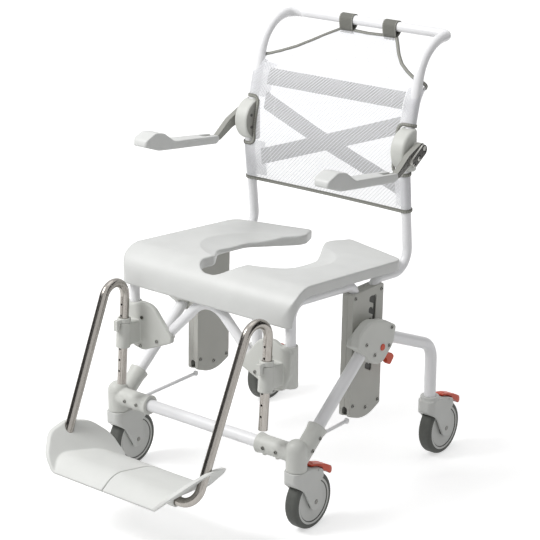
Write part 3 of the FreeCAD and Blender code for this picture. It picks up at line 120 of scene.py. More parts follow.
def dark_card(name, turn):
    """A dark card beside the set that only reflections see: it draws the dark edges on bright metal."""
    bpy.ops.object.select_all(action="DESELECT")
    at = Vector((math.sin(turn) * CARD_AWAY, -math.cos(turn) * CARD_AWAY, CARD_HEIGHT))
    bpy.ops.mesh.primitive_plane_add(size=CARD_SIZE, location=at, rotation=(math.pi / 2, 0, turn))
    card = bpy.context.object
    card.name = name
    card.visible_camera = False
    card.visible_diffuse = False
    card.visible_shadow = False
    card.visible_transmission = False
    material, tree = new_material(name + "_felt")
    felt = add_node(tree, "ShaderNodeBsdfDiffuse", {"Color": hex_colour("#2A2A2A")})
    add_node(tree, "ShaderNodeOutputMaterial", {"Surface": felt.outputs[0]})
    card.data.materials.append(material)


def direct_sight(tree):
    """A light path node, and a value that is 1 for what the camera or a reflection sees."""
    path = add_node(tree, "ShaderNodeLightPath")
    rays = {0: path.outputs["Is Camera Ray"], 1: path.outputs["Is Glossy Ray"]}
    return path, add_node(tree, "ShaderNodeMath", rays, operation="MAXIMUM").outputs[0]


def studio_floor():
    """White floor that keeps the shadow; its glow grows outwards, so that it meets the white surround."""
    bpy.ops.object.select_all(action="DESELECT")
    bpy.ops.mesh.primitive_plane_add(size=FLOOR_SIZE)
    floor = bpy.context.object
    floor.name = "studio_floor"
    material, tree = new_material("painted_studio_floor")
    _, seen = direct_sight(tree)
    paint = add_node(tree, "ShaderNodeBsdfDiffuse", {"Color": hex_colour("#E6E6E6")})
    place = add_node(tree, "ShaderNodeTexCoord")
    away = add_node(tree, "ShaderNodeVectorMath", {0: place.outputs["Object"]}, operation="LENGTH")
    level = add_node(tree, "ShaderNodeMapRange", {
        "Value": away.outputs["Value"], "From Min": GLOW_STARTS, "From Max": GLOW_ENDS,
        "To Min": GLOW_NEAR, "To Max": GLOW_FAR}, interpolation_type="SMOOTHSTEP")
    glow = add_node(tree, "ShaderNodeEmission", {
        "Color": hex_colour("#FFFFFF"), "Strength": level.outputs[0]})
    lit = add_node(tree, "ShaderNodeAddShader", {0: paint.outputs[0], 1: glow.outputs[0]})
    shown = add_node(tree, "ShaderNodeMixShader", {0: seen, 1: paint.outputs[0], 2: lit.outputs[0]})
    add_node(tree, "ShaderNodeOutputMaterial", {"Surface": shown.outputs[0]})
    floor.data.materials.append(material)


def studio_surround():
    """A surround that looks white and lights the object less than it looks."""
    world = bpy.data.worlds.new("studio_surround")
    world.use_nodes = True
    tree = world.node_tree
    tree.nodes.clear()
    path, direct = direct_sight(tree)
    seen = add_node(tree, "ShaderNodeMath", {0: direct, 1: path.outputs["Is Transmission Ray"]},
                    operation="MAXIMUM")
    level = add_node(tree, "ShaderNodeMapRange", {
        "Value": seen.outputs[0], "To Min": SURROUND_LIGHT, "To Max": SURROUND_SEEN})
    sky = add_node(tree, "ShaderNodeBackground", {
        "Color": hex_colour("#FFFFFF"), "Strength": level.outputs[0]})
    add_node(tree, "ShaderNodeOutputWorld", {"Surface": sky.outputs[0]})
    scene.world = world


def set_stage():
    """Floor, surround, three soft lamps and two dark cards."""
    studio_floor()
    studio_surround()
    for lamp in LAMPS:
        area_lamp(*lamp)
    for name, turn in CARD_TURNS.items():
        dark_card(name, math.radians(turn))
    scene.view_settings.view_transform = "Standard"


# Materials

PLASTIC_IOR, RUBBER_IOR, POLYESTER_IOR = 1.5, 1.52, 1.55


def grain(tree, size_mm, detail=2.0, rough=0.5):
    """Noise on the object's own coordinates whose grains are about that many millimetres."""
    place = add_node(tree, "ShaderNodeTexCoord")
    return add_node(tree, "ShaderNodeTexNoise", {
        "Vector": place.outputs["Object"], "Scale": 1 / (size_mm * MM), "Detail": detail, "Roughness": rough})


def moulded_plastic(name, pale, deep, roughness, grain_mm, relief_mm):
    """Moulded plastic: a faint cloud in the colour and a spark-eroded grain that breaks up the gloss.
    The grain is well under 1 mm on the real mouldings and is drawn coarser so that it shows."""
    material, tree = new_material(name)
    cloud = grain(tree, size_mm=55, detail=3)
    tint = add_node(tree, "ShaderNodeMix", {
        0: cloud.outputs["Fac"], 6: hex_colour(deep), 7: hex_colour(pale)}, data_type="RGBA")
    texture = grain(tree, grain_mm, detail=3, rough=0.6)
    gloss = add_node(tree, "ShaderNodeMapRange", {
        "Value": texture.outputs["Fac"], "To Min": roughness - 0.06, "To Max": roughness + 0.08})
    relief = add_node(tree, "ShaderNodeBump", {
        "Height": texture.outputs["Fac"], "Strength": 0.35, "Distance": relief_mm * MM})
    shader = add_node(tree, "ShaderNodeBsdfPrincipled", {
        "Base Color": tint.outputs[2], "Roughness": gloss.outputs[0], "Normal": relief.outputs[0],
        "IOR": PLASTIC_IOR})
    add_node(tree, "ShaderNodeOutputMaterial", {"Surface": shader.outputs[0]})
    return material


def powder_coated_steel():
    """White powder coat: smooth and bright, with the slight orange peel of a baked coat.
    The peel is about 1.5 mm on the real tube and is drawn at 3 mm so that it shows."""
    material, tree = new_material("powder_coated_steel_white")
    cloud = grain(tree, size_mm=80)
    tint = add_node(tree, "ShaderNodeMix", {
        0: cloud.outputs["Fac"], 6: hex_colour("#EFEFF1"), 7: hex_colour("#F9F9FA")}, data_type="RGBA")
    peel = grain(tree, size_mm=3.0, detail=1)
    relief = add_node(tree, "ShaderNodeBump", {
        "Height": peel.outputs["Fac"], "Strength": 0.25, "Distance": 0.15 * MM})
    gloss = add_node(tree, "ShaderNodeMapRange", {
        "Value": peel.outputs["Fac"], "To Min": 0.26, "To Max": 0.38})
    shader = add_node(tree, "ShaderNodeBsdfPrincipled", {
        "Base Color": tint.outputs[2], "Roughness": gloss.outputs[0], "Normal": relief.outputs[0],
        "IOR": PLASTIC_IOR})
    add_node(tree, "ShaderNodeOutputMaterial", {"Surface": shader.outputs[0]})
    return material


def brushed_steel(name, pale, deep, along_mm, across_mm, tilt):
    """Steel brushed along its length: streaks in its tone and its gloss. The scratches are about 0.1 mm
    apart on the real metal and are drawn wider so that they show."""
    material, tree = new_material(name)
    place = add_node(tree, "ShaderNodeTexCoord")
    turned = add_node(tree, "ShaderNodeMapping", {
        "Vector": place.outputs["Object"], "Rotation": (tilt, 0, 0)})
    fine, long = 1 / (across_mm * MM), 1 / (along_mm * MM)
    stretched = add_node(tree, "ShaderNodeMapping", {
        "Vector": turned.outputs[0], "Scale": (fine, fine, long)})
    streak = add_node(tree, "ShaderNodeTexNoise", {
        "Vector": stretched.outputs[0], "Scale": 1.0, "Detail": 3.0})
    tint = add_node(tree, "ShaderNodeMix", {
        0: streak.outputs["Fac"], 6: hex_colour(deep), 7: hex_colour(pale)}, data_type="RGBA")
    gloss = add_node(tree, "ShaderNodeMapRange", {
        "Value": streak.outputs["Fac"], "To Min": 0.2, "To Max": 0.3})
    shader = add_node(tree, "ShaderNodeBsdfPrincipled", {
        "Base Color": tint.outputs[2], "Metallic": 1.0, "Roughness": gloss.outputs[0]})
    add_node(tree, "ShaderNodeOutputMaterial", {"Surface": shader.outputs[0]})
    return material


def cast_rubber():
    """Thermoplastic rubber tyre: dark and dull, with scuffs of paler dust."""
    material, tree = new_material("moulded_rubber_tyre")
    dust = grain(tree, size_mm=9, detail=4, rough=0.65)
    tint = add_node(tree, "ShaderNodeMix", {
        0: dust.outputs["Fac"], 6: hex_colour("#484A47"), 7: hex_colour("#60625D")}, data_type="RGBA")
    texture = grain(tree, size_mm=1.4, detail=3)
    relief = add_node(tree, "ShaderNodeBump", {
        "Height": texture.outputs["Fac"], "Strength": 0.4, "Distance": 0.12 * MM})
    gloss = add_node(tree, "ShaderNodeMapRange", {
        "Value": dust.outputs["Fac"], "To Min": 0.5, "To Max": 0.72})
    shader = add_node(tree, "ShaderNodeBsdfPrincipled", {
        "Base Color": tint.outputs[2], "Roughness": gloss.outputs[0], "Normal": relief.outputs[0],
        "IOR": RUBBER_IOR})
    add_node(tree, "ShaderNodeOutputMaterial", {"Surface": shader.outputs[0]})
    return material


def wave(tree, value, pitch_mm):
    """A ripple along a length in metres: 0 at lines that are pitch_mm apart, 1 half way between them."""
    turns = add_node(tree, "ShaderNodeMath", {0: value, 1: math.pi / (pitch_mm * MM)}, operation="MULTIPLY")
    ripple = add_node(tree, "ShaderNodeMath", {0: turns.outputs[0]}, operation="SINE")
    return add_node(tree, "ShaderNodeMath", {0: ripple.outputs[0]}, operation="ABSOLUTE").outputs[0]


def knitted_mesh():
    """Knitted polyester mesh: slanting rows of openings between soft white threads, so that what is behind
    shows through as fine strokes. The rows are about 2 mm apart on the real cloth and are drawn at 4.2 mm."""
    material, tree = new_material("knitted_polyester_mesh_white")
    flat = add_node(tree, "ShaderNodeUVMap", uv_map="cloth")
    axes = add_node(tree, "ShaderNodeSeparateXYZ", {0: flat.outputs[0]})
    both = {0: axes.outputs["X"], 1: axes.outputs["Y"]}
    slant = add_node(tree, "ShaderNodeMath", both, operation="ADD")
    cross = add_node(tree, "ShaderNodeMath", both, operation="SUBTRACT")
    rows = wave(tree, slant.outputs[0], pitch_mm=4.2)
    bars = wave(tree, cross.outputs[0], pitch_mm=9.0)
    opened = add_node(tree, "ShaderNodeMath", {0: bars, 1: 2.2}, operation="MULTIPLY")
    least = add_node(tree, "ShaderNodeMath", {0: rows, 1: opened.outputs[0]}, operation="MINIMUM")
    thread = add_node(tree, "ShaderNodeMapRange", {
        "Value": least.outputs[0], "From Min": 0.68, "From Max": 0.86, "To Min": 1.0, "To Max": 0.0})
    tint = add_node(tree, "ShaderNodeMix", {0: rows, 6: hex_colour("#F4F4F6"), 7: hex_colour("#E2E3E7")},
                    data_type="RGBA")
    relief = add_node(tree, "ShaderNodeBump", {
        "Height": least.outputs[0], "Strength": 0.4, "Distance": -0.4 * MM})
    shader = add_node(tree, "ShaderNodeBsdfPrincipled", {
        "Base Color": tint.outputs[2], "Roughness": 0.78, "Alpha": thread.outputs[0],
        "Normal": relief.outputs[0], "IOR": POLYESTER_IOR, "Sheen Weight": 0.15})
    add_node(tree, "ShaderNodeOutputMaterial", {"Surface": shader.outputs[0]})
    return material


def woven_webbing(name, pale, deep, stitch, across, row_mm):
    """Woven polyester: ribs across the band, a dull sheen and rows of stitches at a distance from its middle.
    Ribs are about 1 mm on the real band and are drawn at 3 mm so that they show."""
    material, tree = new_material(name)
    flat = add_node(tree, "ShaderNodeUVMap", uv_map="cloth")
    axes = add_node(tree, "ShaderNodeSeparateXYZ", {0: flat.outputs[0]})
    ribs = wave(tree, axes.outputs["X"], pitch_mm=3.0)
    threads = wave(tree, axes.outputs["Y"], pitch_mm=2.4)
    weave = add_node(tree, "ShaderNodeMath", {0: ribs, 1: threads}, operation="MULTIPLY")
    band = add_node(tree, "ShaderNodeMix", {
        0: weave.outputs[0], 6: hex_colour(deep), 7: hex_colour(pale)}, data_type="RGBA")
    far = add_node(tree, "ShaderNodeMath", {0: axes.outputs[across]}, operation="ABSOLUTE")
    near = add_node(tree, "ShaderNodeMath", {0: far.outputs[0], 1: row_mm * MM, 2: 0.8 * MM},
                    operation="COMPARE")
    dash = wave(tree, axes.outputs["Y" if across == "X" else "X"], pitch_mm=5.0)
    long = add_node(tree, "ShaderNodeMath", {0: dash, 1: 0.45}, operation="GREATER_THAN")
    sewn = add_node(tree, "ShaderNodeMath", {0: near.outputs[0], 1: long.outputs[0]}, operation="MULTIPLY")
    tint = add_node(tree, "ShaderNodeMix", {
        0: sewn.outputs[0], 6: band.outputs[2], 7: hex_colour(stitch)}, data_type="RGBA")
    raised = add_node(tree, "ShaderNodeMath", {0: weave.outputs[0], 1: sewn.outputs[0]}, operation="ADD")
    relief = add_node(tree, "ShaderNodeBump", {
        "Height": raised.outputs[0], "Strength": 0.5, "Distance": 0.3 * MM})
    shader = add_node(tree, "ShaderNodeBsdfPrincipled", {
        "Base Color": tint.outputs[2], "Roughness": 0.74, "Normal": relief.outputs[0],
        "IOR": POLYESTER_IOR, "Sheen Weight": 0.1})
    add_node(tree, "ShaderNodeOutputMaterial", {"Surface": shader.outputs[0]})
    return material


# Material name, pale and deep colour, roughness, grain and relief in millimetres
PLASTICS = {
    "grey_moulding": ("moulded_polyamide_light_grey", "#D8D9D4", "#CCCDC8", 0.46, 1.6, 0.10),
    "box_moulding": ("moulded_abs_mid_grey", "#C3C3BD", "#B6B6B0", 0.5, 1.6, 0.10),
    "seat_moulding": ("moulded_polyurethane_seat_grey", "#DCDDDB", "#D0D1CF", 0.42, 2.2, 0.10),
    "red_control": ("moulded_polyamide_signal_red", "#D94C26", "#C2401F", 0.4, 1.4, 0.08),
    "caster_moulding": ("moulded_polyamide_caster_grey", "#D4D5D2", "#C7C8C5", 0.46, 1.6, 0.08),
    "footplate_grain": ("moulded_abs_footplate_grained", "#E3E4E1", "#D8D9D6", 0.56, 2.6, 0.30),
    # This dark grey is the screw heads' own colour and also painted shade on the wheels' bevels and inside
    # the side boxes
    "wheel_groove": ("dark_grey_polyamide_and_painted_shade", "#5E5F5C", "#4E4F4C", 0.6, 1.6, 0.08),
    "clamp_plate": ("moulded_polyamide_clamp_plate", "#A2A29C", "#92928C", 0.5, 1.6, 0.08),
}

# Material name, pale and deep colour, streaks along and across in millimetres, tilt of the brushing
TUBE_LEAN = math.atan(0.0875)
STEELS = {
    "steel_tube": ("brushed_stainless_tube", "#B4B0AB", "#8E8983", 160, 2.2, -TUBE_LEAN),
    "steel_fitting": ("zinc_plated_steel_fitting", "#93938F", "#5E5E5A", 6, 1.2, 0),
    "steel_plate": ("brushed_steel_side_plate", "#C2C1BD", "#8F8E8A", 20, 0.9, math.pi / 2),
}

# Material name, pale and deep colour, stitches, axis across their rows and the rows' distance in millimetres
WEBBINGS = {
    "dark_webbing": ("woven_polyester_strap_grey", "#85857F", "#62625D", "#F2F2F0", "X", 158),
    "loop_webbing": ("woven_polyester_loop_grey", "#84847D", "#64645E", "#A9A9A2", "Y", 16.5),
    "binding_tape": ("woven_polyester_binding_grey", "#85857E", "#63635D", "#A2A29B", "Y", 4.6),
}

finish = {"white_tube": powder_coated_steel(), "tyre_rubber": cast_rubber(), "mesh_fabric": knitted_mesh()}
finish.update({slot: moulded_plastic(*look) for slot, look in PLASTICS.items()})
finish.update({slot: brushed_steel(*look) for slot, look in STEELS.items()})
finish.update({slot: woven_webbing(*look) for slot, look in WEBBINGS.items()})


def finish_cad_nodes():
    """Gives every carried-over solid the finish of its slot; the swing links are coated as the tubes are."""
    for row in frame["record"]["subparts"]:
        mesh = nodes[row["node"]].data
        mesh.materials.clear()
        coated = row["node"].startswith("swing_link")
        mesh.materials.append(finish["white_tube" if coated else row["material_slot"]])


# Steps that several pieces share

MERGE = 0.01 * MM
body_of = {node: body for body, members in frame["record"]["behaviour"]["bodies"].items() for node in members}
slot_of = {row["node"]: row["material_slot"] for row in frame["record"]["subparts"]}


def declare(piece, node, slot=None):
    """Lets a piece stand for a node, on the node's body and in its finish."""
    slot = slot or slot_of[node]
    if not piece.data.materials:
        piece.data.materials.append(finish[slot])
    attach(piece, body_of[node])
    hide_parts(node)
    return piece


def apply_modifier(piece, name, kind, **settings):
    """Adds a modifier with its settings and applies it."""
    made = piece.modifiers.new(name, kind)
    for key, value in settings.items():
        setattr(made, key, value)
    bpy.ops.object.modifier_apply(modifier=made.name)


def select_faces(piece, wanted):
    """Leaves a piece in edit mode with only the faces that have the wanted numbers selected."""
    bpy.ops.object.mode_set(mode="EDIT")
    bpy.ops.mesh.select_mode(type="FACE")
    bpy.ops.mesh.select_all(action="DESELECT")
    bpy.ops.object.mode_set(mode="OBJECT")
    for face in piece.data.polygons:
        face.select = face.index in wanted
    bpy.ops.object.mode_set(mode="EDIT")


def second_finish(piece, slot, chosen):
    """Gives a second finish to the faces that a test chooses."""
    piece.data.materials.append(finish[slot])
    for face in piece.data.polygons:
        if chosen(face):
            face.material_index = 1


# Mouldings: a copy of each solid gets the rounded edges of its mould

# Stem of the nodes' names, voxel in millimetres and rounds of smoothing
SIDE_MOULDINGS = (
    ("front_corner", 1.5, 8), ("height_head", 1.5, 8), ("legrest_bracket", 1.5, 12), ("footplate", 1.7, 8),
    ("legrest_collar", 0.9, 6), ("side_box_outer", 1.5, 3), ("side_box_inner", 1.5, 3), ("arm_pad", 1.5, 18),
    ("height_lever", 0.8, 8),
)
CORNER_MOULDINGS = (("caster_fork", 1.4, 12), ("brake_pedal", 0.9, 8))
WHEEL_EDGE = math.radians(30)
GROOVE_TILT_LEAST, GROOVE_TILT_MOST = 0.15, 0.96


def take_copy(name, node):
    """A copy of a solid's mesh as a new piece: loose triangles are merged and stored normals dropped."""
    bpy.ops.object.select_all(action="DESELECT")
    piece = bpy.data.objects.new(name, nodes[node].data.copy())
    scene.collection.objects.link(piece)
    piece.select_set(True)
    bpy.context.view_layer.objects.active = piece
    bpy.ops.object.mode_set(mode="EDIT")
    bpy.ops.mesh.select_all(action="SELECT")
    bpy.ops.mesh.remove_doubles(threshold=MERGE)
    bpy.ops.object.mode_set(mode="OBJECT")
    bpy.ops.mesh.customdata_custom_splitnormals_clear()
    piece.data.materials.clear()
    return piece


def soften(node, voxel_mm, rounds):
    """Remeshed and smoothed, a solid's sharp edges turn into the radii of a moulding."""
    piece = take_copy(node + "_moulded", node)
    piece.data.remesh_voxel_size = voxel_mm * MM
    bpy.ops.object.voxel_remesh()
    apply_modifier(piece, "mould_radius", "SMOOTH", factor=0.5, iterations=rounds)
    bpy.ops.object.shade_smooth(keep_sharp_edges=False)
    if node.startswith("footplate"):
        piece.data.materials.append(finish["footplate_grain"])
    return declare(piece, node)


def mouldings():
    """Every moulded piece in one finish."""
    for stem, voxel_mm, rounds in SIDE_MOULDINGS:
        for side, _ in SIDES:
            soften(stem + "_" + side, voxel_mm, rounds)
    for corner in CORNERS:
        for stem, voxel_mm, rounds in CORNER_MOULDINGS:
            soften(stem + "_" + corner, voxel_mm, rounds)
    soften("seat_plate", voxel_mm=2.2, rounds=10)


def wheel_discs():
    """The bevels beside the rim and the hub are darker: painted shade, together with the dirt that a real
    wheel keeps there.
    """
    for corner in CORNERS:
        node = "wheel_disc_" + corner
        piece = take_copy(node + "_moulded", node)
        bpy.ops.object.shade_smooth_by_angle(angle=WHEEL_EDGE)
        declare(piece, node)
        # The dark finish on the tilted bevel faces is partly painted shade.
        second_finish(piece, "wheel_groove",
                      lambda face: GROOVE_TILT_LEAST < abs(face.normal.x) < GROOVE_TILT_MOST)


# Side boxes and armrests; sizes in millimetres

# Place, size and edge of the dark strips of painted shade inside the side boxes
SHADE_STRIP_X, SHADE_STRIP_Y, SHADE_STRIP_Z = 228.0, 133.0, 351.0
SHADE_STRIP_SIZE = Vector((0.6, 60, 198)) * MM
SHADE_STRIP_EDGE = 0.2
CLAMP_FACE, CLAMP_SCREW_Y = 198.0, 263.0
CLAMP_SCREW_ROWS = (("upper", 748.0), ("lower", 720.0))
CLAMP_INWARD = -0.75
SCREW_R, SCREW_DEEP, SCREW_EDGE = 3.6, 2.4, 0.5
SOCKET_RIM, SOCKET_DEEP = 1.5, 0.8
LINK_PLATE_X = 255.6


def slot_shade_strips():
    """A dark strip of painted shade inside each side box, behind its hooked slot, so that the slot reads as
    deep.
    """
    for side, sign in SIDES:
        bpy.ops.object.select_all(action="DESELECT")
        bpy.ops.mesh.primitive_cube_add(
            size=1, location=(SHADE_STRIP_X * MM * sign, SHADE_STRIP_Y * MM, SHADE_STRIP_Z * MM))
        piece = bpy.context.object
        piece.name = "slot_shade_strip_" + side
        bpy.ops.transform.resize(value=SHADE_STRIP_SIZE)
        bpy.ops.object.transform_apply(location=True, rotation=True, scale=True)
        apply_modifier(piece, "soft_edge", "BEVEL", width=SHADE_STRIP_EDGE * MM, segments=2)
        # The dark grey finish of this strip is painted shade.
        piece.data.materials.append(finish["wheel_groove"])
        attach(piece, "seat_unit")


def arm_clamps():
    """The pale round cap has a darker plate on its inner face."""
    for side, sign in SIDES:
        piece = soften("arm_clamp_" + side, voxel_mm=1.3, rounds=8)
        second_finish(piece, "clamp_plate", lambda face: face.normal.x * sign < CLAMP_INWARD)


def clamp_screws():
    """Two dark screw heads with round sockets on the inner plate of each arm clamp."""
    for side, sign in SIDES:
        for row, z in CLAMP_SCREW_ROWS:
            bpy.ops.object.select_all(action="DESELECT")
            bpy.ops.mesh.primitive_cylinder_add(
                vertices=40, radius=SCREW_R * MM, depth=SCREW_DEEP * MM, rotation=(0, math.pi / 2, 0),
                location=(CLAMP_FACE * MM * sign, CLAMP_SCREW_Y * MM, z * MM))
            piece = bpy.context.object
            piece.name = "clamp_screw_%s_%s" % (row, side)
            bpy.ops.object.transform_apply(location=True, rotation=True, scale=True)
            apply_modifier(piece, "soft_edge", "BEVEL", width=SCREW_EDGE * MM, segments=2)
            cap = min(piece.data.polygons, key=lambda face: face.center.x * sign)
            select_faces(piece, {cap.index})
            bpy.ops.mesh.inset(thickness=SOCKET_RIM * MM)
            bpy.ops.mesh.extrude_region_move(
                TRANSFORM_OT_translate={"value": (SOCKET_DEEP * MM * sign, 0, 0)})
            bpy.ops.object.mode_set(mode="OBJECT")
            piece.data.materials.append(finish["wheel_groove"])
            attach(piece, "seat_unit")


def arm_links():
    """The goose-neck is a darker moulding; the plate on its outer face and the screws are steel."""
    for side, sign in SIDES:
        piece = soften("arm_link_" + side, voxel_mm=1.0, rounds=4)
        piece.data.materials[0] = finish["clamp_plate"]
        second_finish(piece, "steel_plate", lambda face: face.center.x * sign > LINK_PLATE_X * MM)


# Mesh back, its binding, the rear straps and the loops; sizes in millimetres

TUBE_X, TUBE_R = 217.0, 11.0
SKIN = TUBE_R + 1.2
FLAP = 35.0
HALF_WRAP = TUBE_X + math.pi * SKIN
HALF_CLOTH = HALF_WRAP + FLAP
HEM_Z, SHOULDER_Z, NECK_Z = 598.0, 862.0, 936.0
CUT_X, CUT_FOOT, CUT_TOP, CUT_ROUND = 194.0, 681.0, 785.0, 15.0
BOW = 4.0
NECK_DROP = Vector((0, 27, -7))
STEP_ACROSS, STEP_ACROSS_EDGE, STEP_UP, STEP_UP_CUT, NECK_ROWS = 6, 3, 8, 4, 14

# The back tubes: place at the hem, slope there, and height, reach and added slope of each bend
HEM_Y, HEM_SLOPE = 287.4, -0.0912
BACK_BENDS = ((712, 36, 0.359), (850, 22, 0.934))

# Distance across the cloth and height, along its upper edge
TOP_EDGE = [(0, 934.5), (40, 935.5), (75, 936.5), (97, 922.6), (120, 906.6), (146, 891), (172, 880),
            (199, 870.5), (217, 867), (HALF_CLOTH, 864)]

# Half of the tape's width, of its flat faces, of its thickness and of its upright edges
TAPE_WIDE, TAPE_FLAT, TAPE_THICK, TAPE_EDGE = 3.8, 2.8, 2.1, 1.1
TAPE_SECTION = [(-TAPE_WIDE, -TAPE_EDGE), (-TAPE_WIDE, TAPE_EDGE), (-TAPE_FLAT, TAPE_THICK),
                (TAPE_FLAT, TAPE_THICK), (TAPE_WIDE, TAPE_EDGE), (TAPE_WIDE, -TAPE_EDGE),
                (TAPE_FLAT, -TAPE_THICK), (-TAPE_FLAT, -TAPE_THICK)]
TAPE_CREASE = math.radians(50)
TAPE_STEP, RIM_STEP, RIM_STEP_DOWN = 5, 4, 6
TURN_STEP = 0.2

WEBBING_WIDE = 36.0
STRAP_INSET, STRAP_THICK, STRAP_STEP = 30.0, 1.2, 8
STRAP_LINES = (-1, -0.94, 0, 0.94, 1)
# Name, height at the right and at the left end, and distance behind the cloth
STRAPS = (("rear_strap_upper", 832, 832, 1.0), ("rear_strap_rising", 648, 780, 2.6),
          ("rear_strap_falling", 780, 648, 4.2))
BAR_Y, BAR_Z = 443.8, 958.0
LOOP_X, LOOP_THICK, LOOP_HEM, LOOP_STAND_OFF = 60.0, 1.8, 1.2, 1.6
LOOP_FRONT = ((-9.5, -25), (-11, -17), (-12.2, -8))
LOOP_REAR = ((10.5, -9), (4, -17), (-3, -22), (-6.5, -31))


def eased(height, corner, reach):
    """A run that starts at a corner, rounded over a reach on both sides of it."""
    t = height - corner
    if t < -reach:
        return 0.0
    return t if t > reach else (t + reach) ** 2 / (4 * reach)


def back_axis(z):
    """Fore and aft place of the back tubes' axis, as the cloth follows it, at a height."""
    bends = sum(slope * eased(z, corner, reach) for corner, reach, slope in BACK_BENDS)
    return HEM_Y + HEM_SLOPE * (z - HEM_Z) + bends


def on_back(across, z):
    """Point of the cloth at a distance across it and a height of the tubes' axis, with its normal."""
    slope = back_axis(z + 0.5) - back_axis(z - 0.5)
    front = Vector((0, -1, slope)).normalized()
    sign = math.copysign(1, across)
    far = abs(across)
    axis = Vector((0, back_axis(z), z))
    axis += NECK_DROP * (max(z - SHOULDER_Z, 0) / (NECK_Z - SHOULDER_Z)) ** 2
    if far <= TUBE_X:
        bow = BOW * (1 - (far / TUBE_X) ** 2)
        return Vector((across, 0, 0)) + axis + front * (SKIN - bow), front
    turn = min((far - TUBE_X) / SKIN, math.pi)
    out = Vector((sign, 0, 0))
    normal = front * math.cos(turn) + out * math.sin(turn)
    flap = max(far - HALF_WRAP, 0)
    return out * (TUBE_X - flap) + axis + normal * SKIN, normal


def top_edge(across):
    """Height of the cloth's upper edge: the neck between the loops, then the fall to the shoulders."""
    far = abs(across)
    for (a, za), (b, zb) in zip(TOP_EDGE, TOP_EDGE[1:]):
        if far <= b:
            return za + (zb - za) * (far - a) / (b - a)
    return TOP_EDGE[-1][1]


def grid_piece(name, points, uvs):
    """A sheet from rows of points: a flat grid that keeps its places on the cloth as a UV map, in metres."""
    rows, columns = len(points), len(points[0])
    bpy.ops.object.select_all(action="DESELECT")
    bpy.ops.mesh.primitive_grid_add(x_subdivisions=columns - 1, y_subdivisions=rows - 1)
    piece = bpy.context.object
    piece.name = name
    layer = piece.data.uv_layers.active
    layer.name = "cloth"
    flat = [uv for row in uvs for uv in row]
    for loop in piece.data.loops:
        layer.data[loop.index].uv = [v * MM for v in flat[loop.vertex_index]]
    for vertex, spot in zip(piece.data.vertices, [p for row in points for p in row]):
        vertex.co = spot * MM
    bpy.ops.object.shade_smooth()
    return piece


def spread(start, end, step):
    """Even places from start to end, about a step apart."""
    count = max(1, round((end - start) / step))
    return [start + (end - start) * i / count for i in range(count + 1)]


def in_cutout(across, z):
    """Inside the round-cornered opening for an armrest clamp."""
    inward = CUT_X + CUT_ROUND - abs(across)
    upright = abs(z - (CUT_FOOT + CUT_TOP) / 2) - (CUT_TOP - CUT_FOOT) / 2 + CUT_ROUND
    if inward > 0 and upright > 0:
        return math.hypot(inward, upright) < CUT_ROUND
    return inward < CUT_ROUND and upright < CUT_ROUND


def mesh_back():
    """White mesh stretched over the tubes, cut out for the armrest clamps and narrowed to a neck."""
    half = spread(0, CUT_X, STEP_ACROSS)[:-1] + spread(CUT_X, HALF_CLOTH, STEP_ACROSS_EDGE)
    columns = [-a for a in half[:0:-1]] + half
    low = spread(HEM_Z, CUT_FOOT, STEP_UP)[:-1] + spread(CUT_FOOT, CUT_TOP, STEP_UP_CUT)[:-1]
    low += spread(CUT_TOP, SHOULDER_Z, STEP_UP)
    heights = [[z] * len(columns) for z in low]
    for share in spread(0, 1, 1 / NECK_ROWS)[1:]:
        heights.append([SHOULDER_Z + (top_edge(a) - SHOULDER_Z) * share for a in columns])
    points = [[on_back(a, z)[0] for a, z in zip(columns, row)] for row in heights]
    uvs = [[(a, 0.0) for a in columns]]
    for before, row in zip(points, points[1:]):
        uvs.append([(uv[0], uv[1] + (q - p).length) for uv, p, q in zip(uvs[-1], before, row)])
    piece = grid_piece("back_mesh_cloth", points, uvs)
    across = len(columns) - 1
    select_faces(piece, {r * across + c for r in range(len(low) - 1) for c in range(across)
                         if in_cutout((columns[c] + columns[c + 1]) / 2, (low[r] + low[r + 1]) / 2)})
    bpy.ops.mesh.delete(type="FACE")
    bpy.ops.object.mode_set(mode="OBJECT")
    piece.data.materials.append(finish["mesh_fabric"])
    return piece


def binding(name, trail):
    """Woven tape folded over an edge of the cloth; trail is a list of (across, height)."""
    spots = [on_back(a, z) for a, z in trail]
    points, uvs, along = [], [], 0.0
    for i, (spot, normal) in enumerate(spots):
        before, after = spots[max(i - 1, 0)][0], spots[min(i + 1, len(spots) - 1)][0]
        run = (after - before).normalized()
        side = normal.cross(run).normalized()
        along += (spot - before).length
        ring = [spot + side * b + normal * n for b, n in TAPE_SECTION]
        points.append(ring + ring[:1])
        uvs.append([(along, 2.0 * k) for k in range(len(ring) + 1)])
    piece = grid_piece(name, points, uvs)
    bpy.ops.object.mode_set(mode="EDIT")
    bpy.ops.mesh.select_all(action="SELECT")
    bpy.ops.mesh.remove_doubles(threshold=MERGE)
    bpy.ops.mesh.fill_holes(sides=12)
    bpy.ops.mesh.normals_make_consistent(inside=False)
    bpy.ops.object.mode_set(mode="OBJECT")
    bpy.ops.object.shade_smooth_by_angle(angle=TAPE_CREASE)
    piece.data.materials.append(finish["binding_tape"])
    return piece


